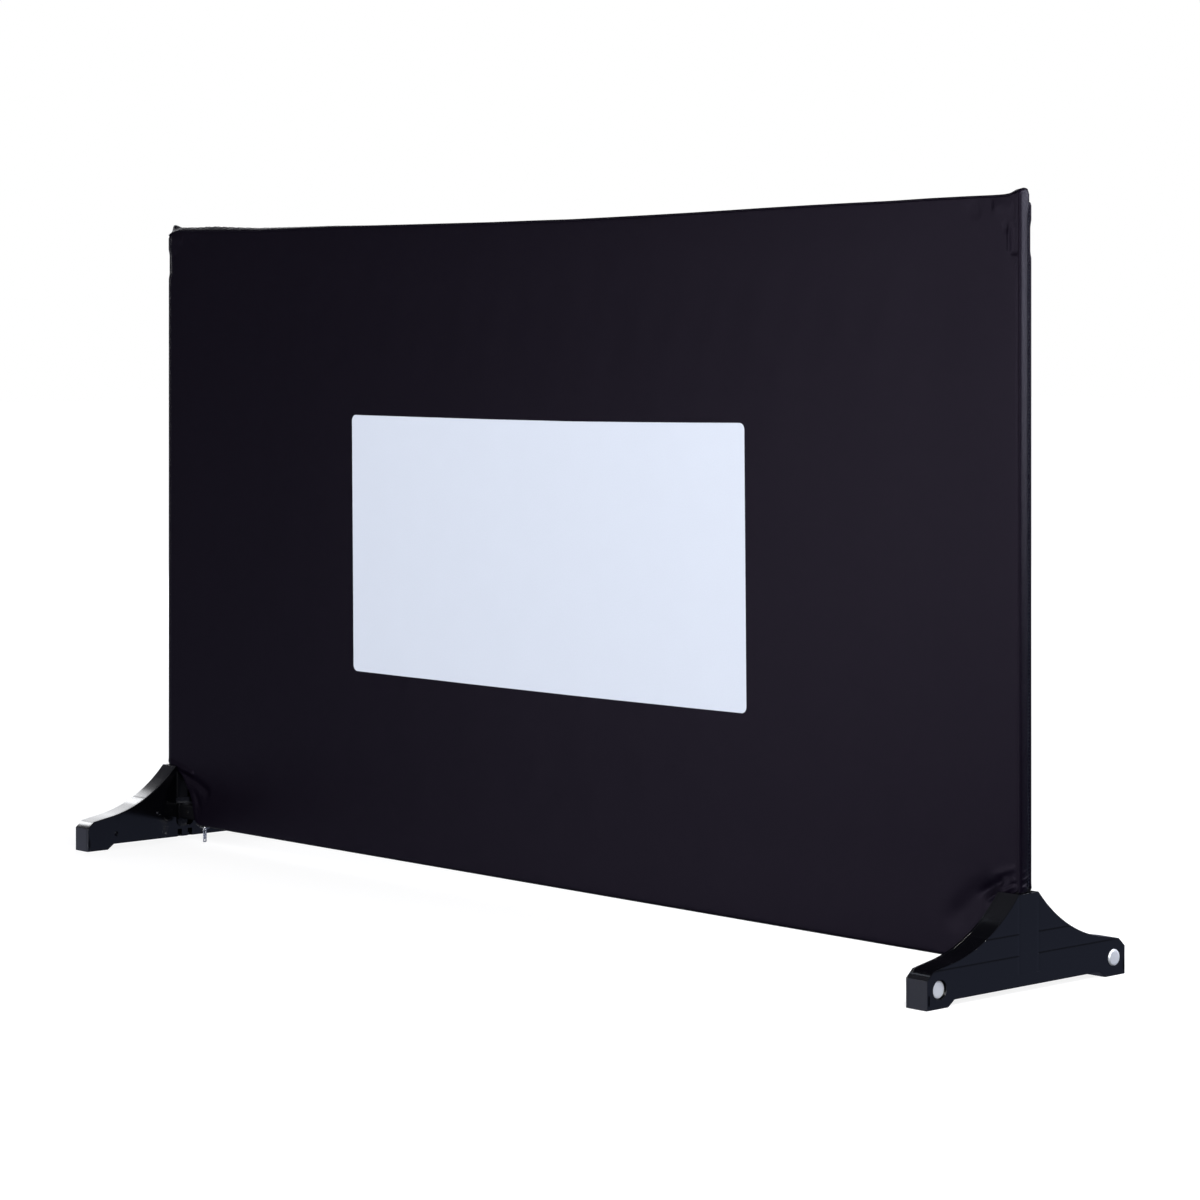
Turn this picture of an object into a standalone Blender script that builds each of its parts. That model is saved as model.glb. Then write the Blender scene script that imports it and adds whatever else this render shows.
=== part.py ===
"""A table tennis court barrier: a stretch fabric sleeve over a rectangle of square steel tube,
held up by two moulded feet that plug on to the frame's lower corners.

Metres, +Z up. The floor is z = 0, the panel runs along X, and its front faces -Y. The left foot
is the right foot turned half round about Z, so a barrier links to the next one with its discs.
"""
import math

import bpy
import bmesh
from mathutils import Vector

# The whole barrier
FEET_SPAN = 1.400            # over the outer faces of both feet
TOP_RAIL_Z = 0.745           # centre line of the top rail
BOTTOM_RAIL_Z = 0.038        # centre line of the bottom rail
GAP = 0.0003                 # between two pieces that seat on each other
OVERRUN = 0.001              # how far a cut runs past the face it opens

# Square steel tube
TUBE_WIDTH = 0.018
TUBE_WALL = 0.0012
TUBE_CORNER = 0.0025
TUBE_HALF = TUBE_WIDTH / 2

# Plastic corner fittings, pushed into the tubes and riveted
SPIGOT_LENGTH = 0.030
SPIGOT_WIDTH = TUBE_WIDTH - 2 * TUBE_WALL - 2 * GAP
COLLAR_LENGTH = 0.0064       # the shoulder that a tube's end butts on
COLLAR_RIM = 0.0012          # how far a collar stands out from the tube
NECK_LENGTH = 0.0325         # the slimmer neck under the top corners
NECK_WIDTH = 0.016
NECK_RIB_WIDTH = 0.002
FITTING_BEVEL = 0.0008

# Flush rivets that hold the tubes on the spigots
RIVET_HEAD = 0.006
RIVET_SHANK = 0.0032
RIVET_DEPTH = 0.0055
RIVET_PROUD = 0.00015
RIVET_END_SHARE = 0.5        # where it goes along a spigot

# Feet
FOOT_LENGTH = 0.289
FOOT_HEIGHT = 0.0945
FLANK_RADIUS = 0.166         # the hollow curve from the top down to the toe
TOE_LENGTH = 0.0385
TOE_ROOT_HEIGHT = 0.0412
TOE_SHOULDER_HEIGHT = 0.036
TOE_FACE_HEIGHT = 0.028
TOE_CHAMFER = 0.009
PAD_LENGTH = 0.0295          # the flat under each toe, which stands on the floor
PAD_SLOPE = 0.009
PAD_HEIGHT = 0.0063          # the rest of the underside is this far off the floor
SHELL_WALL = 0.0025
PLATE_THICKNESS = 0.003
FOOT_EDGE = 0.0008
MOUTH_LIP = 0.0014           # flat left on each side of the mouth at the top
SOCKET_ROOM = 0.00175        # between the tube and the foot's two walls, along X
SOCKET_SIDE_ROOM = 0.0041    # between the tube and the socket's sides, along Y
SOCKET_WALL = 0.0022
SOCKET_FLOOR_Z = 0.0195
SOCKET_CORNER = 0.007
RIB_THICKNESS = 0.0016
RIB_SHORT = 0.004            # how far a rib stops short of the cover plate
UPPER_RIB_Z = 0.0575
LOWER_RIB_Z = 0.0368
UPRIGHT_RIB_SHARES = (0.30, 0.47, 0.62)   # of half the foot's length
NOTCH_INNER = 0.0045         # the two notches under the plate's mouth, from its middle line
NOTCH_OUTER = 0.011
NOTCH_TOP_Z = 0.0155
TOE_SLOT_WIDTH = 0.002
TOE_SLOT_HEIGHT = 0.0095
TOE_SLOT_DEPTH = 0.0016
TOE_SLOT_Z = 0.0045
TOE_SLOT_END = 0.0015        # from the toe's end face

# Screws that hold the cover plate
SCREW_HEAD = 0.0050
SCREW_HEAD_HEIGHT = 0.0015
SCREW_SHANK = 0.0028
SCREW_LENGTH = 0.012
SCREW_BOSS = 0.008
SCREW_RECESS = 0.0018
UPPER_SCREW_SHARE = 0.2803    # of half the foot's length
UPPER_SCREW_Z = 0.0378
LOWER_SCREW_SHARE = 0.7114
LOWER_SCREW_Z = 0.0187

# Linking discs in the feet's outer faces
DISC_DIAMETER = 0.0165
DISC_THICKNESS = 0.005
DISC_END = 0.0175            # from the toe's end face
DISC_Z = 0.018
DISC_RECESS = 0.0018
DISC_RECESS_DIAMETER = 0.019
DISC_PROUD = 0.0015
DISC_CHAMFER = 0.0010
DISC_BOSS_WALL = 0.0022

# Fabric sleeve
COVER_THICKNESS = 0.0007
COVER_ROOM = 0.0004          # between the tube and the fabric
COVER_BOTTOM_Z = 0.0242
COVER_RISE = 0.008           # how far the top edge rises from the middle to the corners
COVER_TOP_STEPS = 24
SIDE_HEM_Z = 0.0965
EAR_Z = 0.769                # top of the tab where three seams meet
EAR_WIDTH = 0.008
EAR_SHOULDER = 0.003
CORNER_CUT_WIDTH = 0.0748    # the hollow cut-out at each lower corner
CORNER_CUT_STEPS = 12
CUT_LIP = 0.0228             # of that width, the part that dips into the foot's mouth
CUT_LIP_Z = 0.088
CUT_TURN = 0.0488            # where the hollow's steepest stretch stands, from the corner
CUT_TURN_Z = 0.080

# Zip along the bottom edge
ZIP_END_ROOM = 0.04675       # from an upright's axis to the end of the tape
ZIP_Z = 0.0228
ZIP_ROW_WIDTH = 0.0022
ZIP_ROW_HEIGHT = 0.0022
ZIP_ROW_SPACE = 0.0011       # between the two rows, for the slider's wedge
ZIP_TAPE_THICKNESS = 0.0006
ZIP_TAPE_LEVEL = 0.0024      # the tape's level strip beside its row
ZIP_STOP_LENGTH = 0.003
SLIDER_LENGTH = 0.012
SLIDER_PLATE = 0.0010
SLIDER_WIDTH = 0.0088
SLIDER_FLANGE = 0.0010
SLIDER_WEDGE = 0.0005
SLIDER_REST = 0.009          # from the left end of the tape, where the slider rests
BAIL_SPAN = 0.0080
BAIL_BAR = 0.0010
BAIL_WIDTH = 0.0016
BAIL_ROOM = 0.0017
PULL_WIDTH = 0.0050
PULL_THICKNESS = 0.0011
PULL_LENGTH = 0.0172
PULL_WINDOW = 0.0052
PULL_EYE = 0.0026
PULL_SWING_ROOM = 0.0003

# Places that follow from the sizes
FOOT_OUTER_X = TUBE_HALF + SOCKET_ROOM + SHELL_WALL          # from the upright's axis
FOOT_INNER_X = -(TUBE_HALF + SOCKET_ROOM + PLATE_THICKNESS)
UPRIGHT_X = FEET_SPAN / 2 - FOOT_OUTER_X
ZIP_HALF_LENGTH = UPRIGHT_X - ZIP_END_ROOM
SLIDER_REST_X = SLIDER_REST - ZIP_HALF_LENGTH
SOCKET_HALF = TUBE_HALF + SOCKET_SIDE_ROOM
UPPER_SCREW_Y = FOOT_LENGTH / 2 * UPPER_SCREW_SHARE
LOWER_SCREW_Y = FOOT_LENGTH / 2 * LOWER_SCREW_SHARE
DISC_Y = FOOT_LENGTH / 2 - DISC_END
BLOCK_TOP_Z = BOTTOM_RAIL_Z + TUBE_HALF + GAP                # lower fitting, under its collar
LOWER_TUBE_Z = BLOCK_TOP_Z + COLLAR_LENGTH
TOP_BLOCK_Z = TOP_RAIL_Z - TUBE_HALF
UPPER_TUBE_Z = TOP_BLOCK_Z - NECK_LENGTH
FABRIC_IN = TUBE_HALF + COVER_ROOM                           # from a tube's axis to the fabric
FABRIC_OUT = FABRIC_IN + COVER_THICKNESS
FABRIC_END_X = UPRIGHT_X + FABRIC_OUT
COVER_TOP_Z = TOP_RAIL_Z + FABRIC_OUT

ROUND_STEPS = 24
SMALL_ROUND_STEPS = 14       # rivets, screws and their holes
DISC_STEPS = 36


def clear_scene():
    for item in list(bpy.data.objects):
        bpy.data.objects.remove(item, do_unlink=True)
    for group in list(bpy.data.collections):
        bpy.data.collections.remove(group)


def material(name, colour, roughness, metallic):
    made = bpy.data.materials.new(name)
    made.use_nodes = True
    shader = made.node_tree.nodes["Principled BSDF"]
    shader.inputs["Base Color"].default_value = (*colour, 1)
    shader.inputs["Roughness"].default_value = roughness
    shader.inputs["Metallic"].default_value = metallic
    return made


def empty(name, x, turn=0.0, z=0.0):
    made = bpy.data.objects.new(name, None)
    made.location = (x, 0, z)
    made.rotation_euler.z = turn
    bpy.context.scene.collection.objects.link(made)
    return made


def add(name, shape, finish=None, parent=None, location=(0, 0, 0)):
    """A bmesh made an object; without a finish it is a hidden cutter."""
    mesh = bpy.data.meshes.new(name)
    bmesh.ops.recalc_face_normals(shape, faces=shape.faces)
    shape.to_mesh(mesh)
    shape.free()
    made = bpy.data.objects.new(name, mesh)
    made.parent = parent
    made.location = location
    bpy.context.scene.collection.objects.link(made)
    if finish:
        mesh.materials.append(finish)
    else:
        made.hide_render = True
        made.display_type = "WIRE"
    return made


def boolean(target, others, operation):
    """All the shapes that cut a piece, or are joined to it, work in one step, as one collection."""
    name = f"{operation.lower()}_{target.name}"
    group = bpy.data.collections.get(name)
    if not group:
        group = bpy.data.collections.new(name)
        bpy.context.scene.collection.children.link(group)
        step = target.modifiers.new(name, "BOOLEAN")
        step.operation = operation
        step.solver = "EXACT"
        step.operand_type = "COLLECTION"
        step.collection = group
    for other in others:
        bpy.context.scene.collection.objects.unlink(other)
        group.objects.link(other)


def cut(target, *others):
    boolean(target, others, "DIFFERENCE")


def join(target, *others):
    boolean(target, others, "UNION")


def smooth_rounds(item, degrees=35):
    item.data.shade_smooth()
    item.data.set_sharp_from_angle(angle=math.radians(degrees))


def prism(outline, axis, low, high, edge=0.0, edged_ends=()):
    """A flat outline pushed along an axis; edge rounds the rims of the ends that are named."""
    shape = bmesh.new()
    others = [k for k in range(3) if k != axis]
    rims = []
    for place in (low, high):
        ring = []
        for u, v in outline:
            point = Vector((0, 0, 0))
            point[axis], point[others[0]], point[others[1]] = place, u, v
            ring.append(shape.verts.new(point))
        rims.append(ring)
    for k in range(len(outline)):
        after = (k + 1) % len(outline)
        shape.faces.new((rims[0][k], rims[0][after], rims[1][after], rims[1][k]))
    caps = [shape.faces.new(rims[0]), shape.faces.new(rims[1])]
    bmesh.ops.recalc_face_normals(shape, faces=shape.faces)
    if edge:
        picked = [e for end in edged_ends for e in caps[end].edges]
        bmesh.ops.bevel(shape, geom=picked, offset=edge, segments=2, profile=0.6, affect="EDGES")
    return shape


def box(low, high):
    outline = [(low[1], low[2]), (high[1], low[2]), (high[1], high[2]), (low[1], high[2])]
    return prism(outline, 0, low[0], high[0])


def rounded(width, height, radius, steps=4, middle=(0.0, 0.0)):
    """A rectangle with round corners, as a list of (u, v)."""
    points = []
    for quarter, (su, sv) in enumerate(((1, 1), (-1, 1), (-1, -1), (1, -1))):
        centre_u = middle[0] + su * (width / 2 - radius)
        centre_v = middle[1] + sv * (height / 2 - radius)
        for k in range(steps + 1):
            angle = math.pi / 2 * (quarter + k / steps)
            points.append((centre_u + radius * math.cos(angle), centre_v + radius * math.sin(angle)))
    return points


def turned(profile, axis, sign=1, steps=ROUND_STEPS):
    """A profile of (radius, height) turned about an axis, from one end on the axis to the other."""
    shape = bmesh.new()
    others = [k for k in range(3) if k != axis]
    rings = []
    for radius, height in profile:
        count = steps if radius else 1
        ring = []
        for k in range(count):
            angle = 2 * math.pi * k / steps
            point = Vector((0, 0, 0))
            point[axis] = sign * height
            point[others[0]] = radius * math.cos(angle)
            point[others[1]] = radius * math.sin(angle)
            ring.append(shape.verts.new(point))
        rings.append(ring)
    for low, high in zip(rings, rings[1:]):
        for k in range(steps):
            after = (k + 1) % steps
            corners = [low[k % len(low)], low[after % len(low)], high[after % len(high)], high[k % len(high)]]
            shape.faces.new(list(dict.fromkeys(corners)))
    return shape


def cylinder(radius, axis, low, high, middle, steps=SMALL_ROUND_STEPS):
    shape = turned([(0, low), (radius, low), (radius, high), (0, high)], axis, steps=steps)
    bmesh.ops.translate(shape, verts=shape.verts, vec=middle)
    return shape


def tube(name, axis, low, high, finish, middle=(0, 0, 0)):
    """A length of the square tube, open at both ends."""
    shape = bmesh.new()
    others = [k for k in range(3) if k != axis]
    outer = rounded(TUBE_WIDTH, TUBE_WIDTH, TUBE_CORNER)
    bore = TUBE_WIDTH - 2 * TUBE_WALL
    inner = rounded(bore, bore, TUBE_CORNER - TUBE_WALL)
    rings = []
    for loop, place in ((outer, low), (outer, high), (inner, high), (inner, low)):
        ring = []
        for u, v in loop:
            point = Vector(middle)
            point[axis] += place
            point[others[0]] += u
            point[others[1]] += v
            ring.append(shape.verts.new(point))
        rings.append(ring)
    for first, second in zip(rings, rings[1:] + rings[:1]):
        for k in range(len(first)):
            after = (k + 1) % len(first)
            shape.faces.new((first[k], first[after], second[after], second[k]))
    made = add(name, shape, finish)
    smooth_rounds(made)
    return made


def inset(points, distance):
    """A closed outline moved inwards by a wall's thickness."""
    area = sum(a[0] * b[1] - b[0] * a[1] for a, b in zip(points, points[1:] + points[:1]))
    side = 1 if area > 0 else -1
    count = len(points)
    moved = []
    for k in range(count):
        before, here, after = (Vector(points[j % count]) for j in (k - 1, k, k + 1))
        first = (here - before).normalized()
        second = (after - here).normalized()
        normal_a = Vector((-first.y, first.x)) * side
        normal_b = Vector((-second.y, second.x)) * side
        bisector = (normal_a + normal_b).normalized()
        moved.append(tuple(here + bisector * (distance / bisector.dot(normal_a))))
    return moved


# Frame: four tubes between four plastic corner fittings
def spigot(name, parent, axis, low, high, middle=(0, 0, 0)):
    """The square plug of a fitting that goes into a tube."""
    shape = prism(rounded(SPIGOT_WIDTH, SPIGOT_WIDTH, TUBE_CORNER - TUBE_WALL, 2), axis, low, high)
    bmesh.ops.translate(shape, verts=shape.verts, vec=middle)
    return add(name, shape, parent=parent)


def bottom_corner(side, parent, finish):
    """The lower corner fitting, whose tapered toe seats in the foot's socket."""
    half = SOCKET_HALF - GAP
    outer_x = FOOT_OUTER_X - SHELL_WALL - GAP
    toe_z = SOCKET_FLOOR_Z + GAP
    taper = BLOCK_TOP_Z - toe_z
    toe_shares = ((1.0, 1.0), (1.0, 0.80), (0.96, 0.66), (0.87, 0.54), (0.74, 0.42), (0.62, 0.26), (0.54, 0.08),
                  (0.46, 0.0))     # of the toe's half width and its height
    right = [(half * wide, toe_z + taper * high) for wide, high in toe_shares]
    outline = right + [(-y, z) for y, z in reversed(right)]
    name = "bottom_corner_" + side
    block = add(name, prism(outline, 0, -TUBE_HALF, outer_x), finish, parent)
    rim = TUBE_HALF + COLLAR_RIM
    collar = add("collar_" + name, prism(rounded(outer_x + TUBE_HALF, 2 * half, FITTING_BEVEL, 2,
                                                 ((outer_x - TUBE_HALF) / 2, 0.0)),
                                         2, BLOCK_TOP_Z - OVERRUN, LOWER_TUBE_Z), parent=parent)
    arm = add("arm_" + name, prism(rounded(2 * rim, 2 * rim, TUBE_CORNER, 3, (0.0, BOTTOM_RAIL_Z)),
                                   0, -TUBE_HALF - COLLAR_LENGTH, -TUBE_HALF + OVERRUN), parent=parent)
    up = spigot("spigot_up_" + name, parent, 2, LOWER_TUBE_Z - OVERRUN, LOWER_TUBE_Z + SPIGOT_LENGTH)
    start = -TUBE_HALF - COLLAR_LENGTH
    along = spigot("spigot_in_" + name, parent, 0, start - SPIGOT_LENGTH, start + OVERRUN, (0, 0, BOTTOM_RAIL_Z))
    join(block, collar, arm, up, along)
    return block


def top_corner(side, parent, finish):
    """The upper corner fitting, a block with a slim ribbed neck above the upright."""
    name = "top_corner_" + side
    block = add(name, prism(rounded(TUBE_WIDTH, TUBE_WIDTH, TUBE_CORNER, 4, (0.0, TOP_RAIL_Z)),
                            1, -TUBE_HALF, TUBE_HALF, FITTING_BEVEL, (0, 1)), finish, parent)
    neck = add("neck_" + name, prism(rounded(NECK_WIDTH, NECK_WIDTH, FITTING_BEVEL, 2), 2,
                                     UPPER_TUBE_Z, TOP_BLOCK_Z + TUBE_CORNER), parent=parent)
    rib = add("rib_" + name, box((-NECK_RIB_WIDTH / 2, -TUBE_HALF, UPPER_TUBE_Z + NECK_RIB_WIDTH),
                                 (NECK_RIB_WIDTH / 2, TUBE_HALF, TOP_BLOCK_Z - NECK_RIB_WIDTH)), parent=parent)
    down = spigot("spigot_down_" + name, parent, 2, UPPER_TUBE_Z - SPIGOT_LENGTH, UPPER_TUBE_Z + OVERRUN)
    along = spigot("spigot_in_" + name, parent, 0, -TUBE_HALF - SPIGOT_LENGTH, -TUBE_HALF + TUBE_CORNER,
                   (0, 0, TOP_RAIL_Z))
    join(block, neck, rib, down, along)
    return block


def rivet(name, x, z, tube_piece, fitting, finish):
    """A flush rivet through a tube's front wall into the spigot behind it."""
    seat = TUBE_HALF - TUBE_WALL
    front = TUBE_HALF + RIVET_PROUD
    profile = [(0, front), (RIVET_HEAD / 2 - RIVET_PROUD, front), (RIVET_HEAD / 2, TUBE_HALF - RIVET_PROUD),
               (RIVET_HEAD / 2, seat), (RIVET_SHANK / 2, seat), (RIVET_SHANK / 2, front - RIVET_DEPTH),
               (0, front - RIVET_DEPTH)]
    made = add(name, turned(profile, 1, -1, SMALL_ROUND_STEPS), finish, location=(x, 0, z))
    smooth_rounds(made)
    hole = cylinder(RIVET_HEAD / 2 + GAP, 1, -TUBE_HALF - OVERRUN, -TUBE_HALF + TUBE_WALL + GAP, (x, 0, z))
    cut(tube_piece, add("hole_" + name, hole))
    pocket = cylinder(RIVET_SHANK / 2 + GAP, 1, -TUBE_HALF, -front + RIVET_DEPTH + GAP, (x, 0, z))
    cut(fitting, add("pocket_" + name, pocket))


def frame(ends, steel, plastic, zinc):
    top_start = UPRIGHT_X - TUBE_HALF - GAP
    bottom_start = UPRIGHT_X - TUBE_HALF - COLLAR_LENGTH - GAP
    top_rail = tube("top_rail", 0, -top_start, top_start, steel, (0, 0, TOP_RAIL_Z))
    bottom_rail = tube("bottom_rail", 0, -bottom_start, bottom_start, steel, (0, 0, BOTTOM_RAIL_Z))
    into = SPIGOT_LENGTH * RIVET_END_SHARE
    for side, hand in (("left", -1), ("right", 1)):
        x = hand * UPRIGHT_X
        upright = tube("upright_" + side, 2, LOWER_TUBE_Z + GAP, UPPER_TUBE_Z - GAP, steel, (x, 0, 0))
        lower = bottom_corner(side, ends[side], plastic)
        upper = top_corner(side, ends[side], plastic)
        rivet("rivet_upright_top_" + side, x, UPPER_TUBE_Z - into, upright, upper, zinc)
        rivet("rivet_upright_bottom_" + side, x, LOWER_TUBE_Z + into, upright, lower, zinc)
        rivet("rivet_top_rail_" + side, hand * (top_start - into), TOP_RAIL_Z, top_rail, upper, zinc)
        rivet("rivet_bottom_rail_" + side, hand * (bottom_start - into), BOTTOM_RAIL_Z, bottom_rail, lower, zinc)


# Feet: a ribbed outer shell and a screwed cover plate with the mouth that the frame's corner enters
def foot_outline(flank_steps=14):
    """The foot's side view as (y, z), from the top round the +Y toe and back along the underside."""
    end = FOOT_LENGTH / 2
    top = Vector((SOCKET_HALF + MOUTH_LIP, FOOT_HEIGHT))
    root = Vector((end - TOE_LENGTH, TOE_ROOT_HEIGHT))
    chord = root - top
    reach = math.sqrt(FLANK_RADIUS ** 2 - (chord.length / 2) ** 2)
    centre = (top + root) / 2 + Vector((-chord.y, chord.x)).normalized() * reach
    start = math.atan2(top.y - centre.y, top.x - centre.x)
    stop = math.atan2(root.y - centre.y, root.x - centre.x)
    flank = [(centre.x + FLANK_RADIUS * math.cos(start + (stop - start) * k / flank_steps),
              centre.y + FLANK_RADIUS * math.sin(start + (stop - start) * k / flank_steps))
             for k in range(flank_steps + 1)]
    toe = [(end - TOE_CHAMFER, TOE_SHOULDER_HEIGHT), (end, TOE_FACE_HEIGHT), (end, 0.0),
           (end - PAD_LENGTH, 0.0), (end - PAD_LENGTH - PAD_SLOPE, PAD_HEIGHT)]
    half = flank + toe
    return half + [(-y, z) for y, z in reversed(half)]


def screw_places():
    return [(side * y, z) for side in (-1, 1)
            for y, z in ((UPPER_SCREW_Y, UPPER_SCREW_Z), (LOWER_SCREW_Y, LOWER_SCREW_Z))]


def toe_slots(name, parent, face_x, inwards):
    """Cutters for the narrow slots beside the toes' end faces."""
    deep = sorted((face_x + inwards * TOE_SLOT_DEPTH, face_x - inwards * OVERRUN))
    for label, side in (("a", -1), ("b", 1)):
        near = FOOT_LENGTH / 2 - TOE_SLOT_END
        across = sorted((side * near, side * (near - TOE_SLOT_WIDTH)))
        yield add(f"slot_{label}_{name}", box((deep[0], across[0], TOE_SLOT_Z),
                                              (deep[1], across[1], TOE_SLOT_Z + TOE_SLOT_HEIGHT)), parent=parent)


def hollow(side, parent, part_x):
    """What is cut out of the shell: the space inside its walls, less ribs, bosses and socket walls."""
    deep_x = FOOT_OUTER_X - SHELL_WALL
    space = add("space_" + side, prism(inset(foot_outline(), SHELL_WALL), 0, part_x - OVERRUN, deep_x),
                parent=parent)
    past_x = deep_x + OVERRUN
    rib_x = part_x + RIB_SHORT
    kept = []
    for k, share in enumerate(UPRIGHT_RIB_SHARES):
        y = FOOT_LENGTH / 2 * share
        for label, hand in (("a", -1), ("b", 1)):
            kept.append(add(f"rib_{k}{label}_{side}", box((rib_x, hand * y - RIB_THICKNESS / 2, 0),
                                                          (past_x, hand * y + RIB_THICKNESS / 2, FOOT_HEIGHT)),
                            parent=parent))
    for label, z in (("upper", UPPER_RIB_Z), ("lower", LOWER_RIB_Z)):
        for end, hand in (("a", -1), ("b", 1)):
            across = sorted((hand * (SOCKET_HALF + SOCKET_WALL / 2), hand * FOOT_LENGTH / 2))
            kept.append(add(f"shelf_{label}_{end}_{side}", box((rib_x, across[0], z - RIB_THICKNESS / 2),
                                                               (past_x, across[1], z + RIB_THICKNESS / 2)),
                            parent=parent))
    for k, (y, z) in enumerate(screw_places()):
        kept.append(add(f"boss_{k}_{side}", cylinder(SCREW_BOSS / 2, 0, part_x, past_x, (0, y, z)), parent=parent))
    boss_radius = DISC_RECESS_DIAMETER / 2 + DISC_BOSS_WALL
    boss_x = FOOT_OUTER_X - DISC_RECESS - DISC_THICKNESS - DISC_BOSS_WALL
    for label, hand in (("a", -1), ("b", 1)):
        shape = cylinder(boss_radius, 0, boss_x, past_x, (0, hand * DISC_Y, DISC_Z), ROUND_STEPS)
        kept.append(add(f"seat_{label}_{side}", shape, parent=parent))
    outer = SOCKET_HALF + SOCKET_WALL
    for label, hand in (("a", -1), ("b", 1)):
        across = sorted((hand * SOCKET_HALF, hand * outer))
        kept.append(add(f"wall_{label}_{side}", box((part_x, across[0], 0), (past_x, across[1], FOOT_HEIGHT)),
                        parent=parent))
    kept.append(add("floor_" + side, box((part_x, -outer, SOCKET_FLOOR_Z - SOCKET_WALL),
                                         (past_x, outer, SOCKET_FLOOR_Z)), parent=parent))
    cut(space, *kept)
    return space


def foot_shell(side, parent, finish):
    part_x = FOOT_INNER_X + PLATE_THICKNESS + GAP
    shell = add("foot_shell_" + side, prism(foot_outline(), 0, part_x, FOOT_OUTER_X, FOOT_EDGE, (1,)), finish, parent)
    cut(shell, hollow(side, parent, part_x))
    mouth = box((part_x - OVERRUN, -SOCKET_HALF, SOCKET_FLOOR_Z + SOCKET_CORNER),
                (FOOT_OUTER_X - SHELL_WALL, SOCKET_HALF, FOOT_HEIGHT + OVERRUN))
    cut(shell, add("mouth_" + side, mouth, parent=parent))
    face = FOOT_OUTER_X + OVERRUN
    seat = FOOT_OUTER_X - DISC_THICKNESS - GAP
    radius = DISC_DIAMETER / 2 + GAP
    plain = cylinder(radius, 0, seat, face, (0, DISC_Y, DISC_Z), DISC_STEPS)
    deep = cylinder(radius, 0, seat - DISC_RECESS, face, (0, -DISC_Y, DISC_Z), DISC_STEPS)
    recess = cylinder(DISC_RECESS_DIAMETER / 2, 0, FOOT_OUTER_X - DISC_RECESS, face, (0, -DISC_Y, DISC_Z),
                      DISC_STEPS)
    cut(shell, add("disc_hole_proud_" + side, plain, parent=parent),
        add("disc_hole_sunk_" + side, deep, parent=parent), add("disc_recess_" + side, recess, parent=parent))
    reach = FOOT_INNER_X + SCREW_RECESS + SCREW_LENGTH + GAP
    for k, (y, z) in enumerate(screw_places()):
        pilot = cylinder(SCREW_SHANK / 2 + GAP, 0, part_x - OVERRUN, reach, (0, y, z))
        cut(shell, add(f"pilot_{k}_{side}", pilot, parent=parent))
    cut(shell, *toe_slots("shell_" + side, parent, FOOT_OUTER_X, -1))
    smooth_rounds(shell)


def foot_plate(side, parent, finish):
    """The inner cover plate, with the mouth that is open to the top and two notches below it."""
    inner_x = FOOT_INNER_X
    back_x = inner_x + PLATE_THICKNESS
    plate = add("foot_plate_" + side, prism(foot_outline(), 0, inner_x, back_x, FOOT_EDGE, (0,)), finish, parent)
    low, high = inner_x - OVERRUN, back_x + OVERRUN
    middle_z = (SOCKET_FLOOR_Z + 2 * FOOT_HEIGHT) / 2
    mouth = prism(rounded(2 * SOCKET_HALF, 2 * FOOT_HEIGHT - SOCKET_FLOOR_Z, SOCKET_CORNER, 6, (0.0, middle_z)),
                  0, low, high)
    cut(plate, add("plate_mouth_" + side, mouth, parent=parent))
    for label, hand in (("a", -1), ("b", 1)):
        across = sorted((hand * NOTCH_INNER, hand * NOTCH_OUTER))
        notch = box((low, across[0], PAD_HEIGHT - OVERRUN), (high, across[1], NOTCH_TOP_Z))
        cut(plate, add(f"notch_{label}_{side}", notch, parent=parent))
    for k, (y, z) in enumerate(screw_places()):
        sink = cylinder(SCREW_HEAD / 2 + GAP, 0, low, inner_x + SCREW_RECESS + GAP, (0, y, z))
        way = cylinder(SCREW_SHANK / 2 + GAP, 0, low, high, (0, y, z))
        cut(plate, add(f"sink_{k}_{side}", sink, parent=parent), add(f"way_{k}_{side}", way, parent=parent))
    cut(plate, *toe_slots("plate_" + side, parent, inner_x, 1))
    smooth_rounds(plate)


def foot_screws(side, parent, finish):
    head = SCREW_HEAD / 2
    shank = SCREW_SHANK / 2
    crown = SCREW_HEAD_HEIGHT / 3
    top = FOOT_INNER_X + SCREW_RECESS - SCREW_HEAD_HEIGHT
    profile = [(0, top), (head - crown, top), (head, top + crown), (head, top + SCREW_HEAD_HEIGHT),
               (shank, top + SCREW_HEAD_HEIGHT), (shank, top + SCREW_LENGTH - shank), (0, top + SCREW_LENGTH)]
    for k, (y, z) in enumerate(screw_places(), 1):
        made = add(f"foot_screw_{side}_{k}", turned(profile, 0, steps=SMALL_ROUND_STEPS), finish, parent, (0, y, z))
        smooth_rounds(made)


def link_discs(side, parent, finish):
    """One disc stands proud and the other is sunk, so the foot beside it meets both."""
    radius = DISC_DIAMETER / 2
    edge = DISC_CHAMFER / 2
    back = FOOT_OUTER_X - DISC_THICKNESS
    front = FOOT_OUTER_X + DISC_PROUD
    proud = [(0, back), (radius, back), (radius, front - DISC_CHAMFER), (radius - DISC_CHAMFER, front), (0, front)]
    made = add("link_disc_proud_" + side, turned(proud, 0, steps=DISC_STEPS), finish, parent, (0, DISC_Y, DISC_Z))
    smooth_rounds(made)
    face = FOOT_OUTER_X - DISC_RECESS
    sunk = [(0, face - DISC_THICKNESS), (radius, face - DISC_THICKNESS), (radius, face - edge),
            (radius - edge, face), (0, face)]
    made = add("link_disc_sunk_" + side, turned(sunk, 0, steps=DISC_STEPS), finish, parent, (0, -DISC_Y, DISC_Z))
    smooth_rounds(made)


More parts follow.
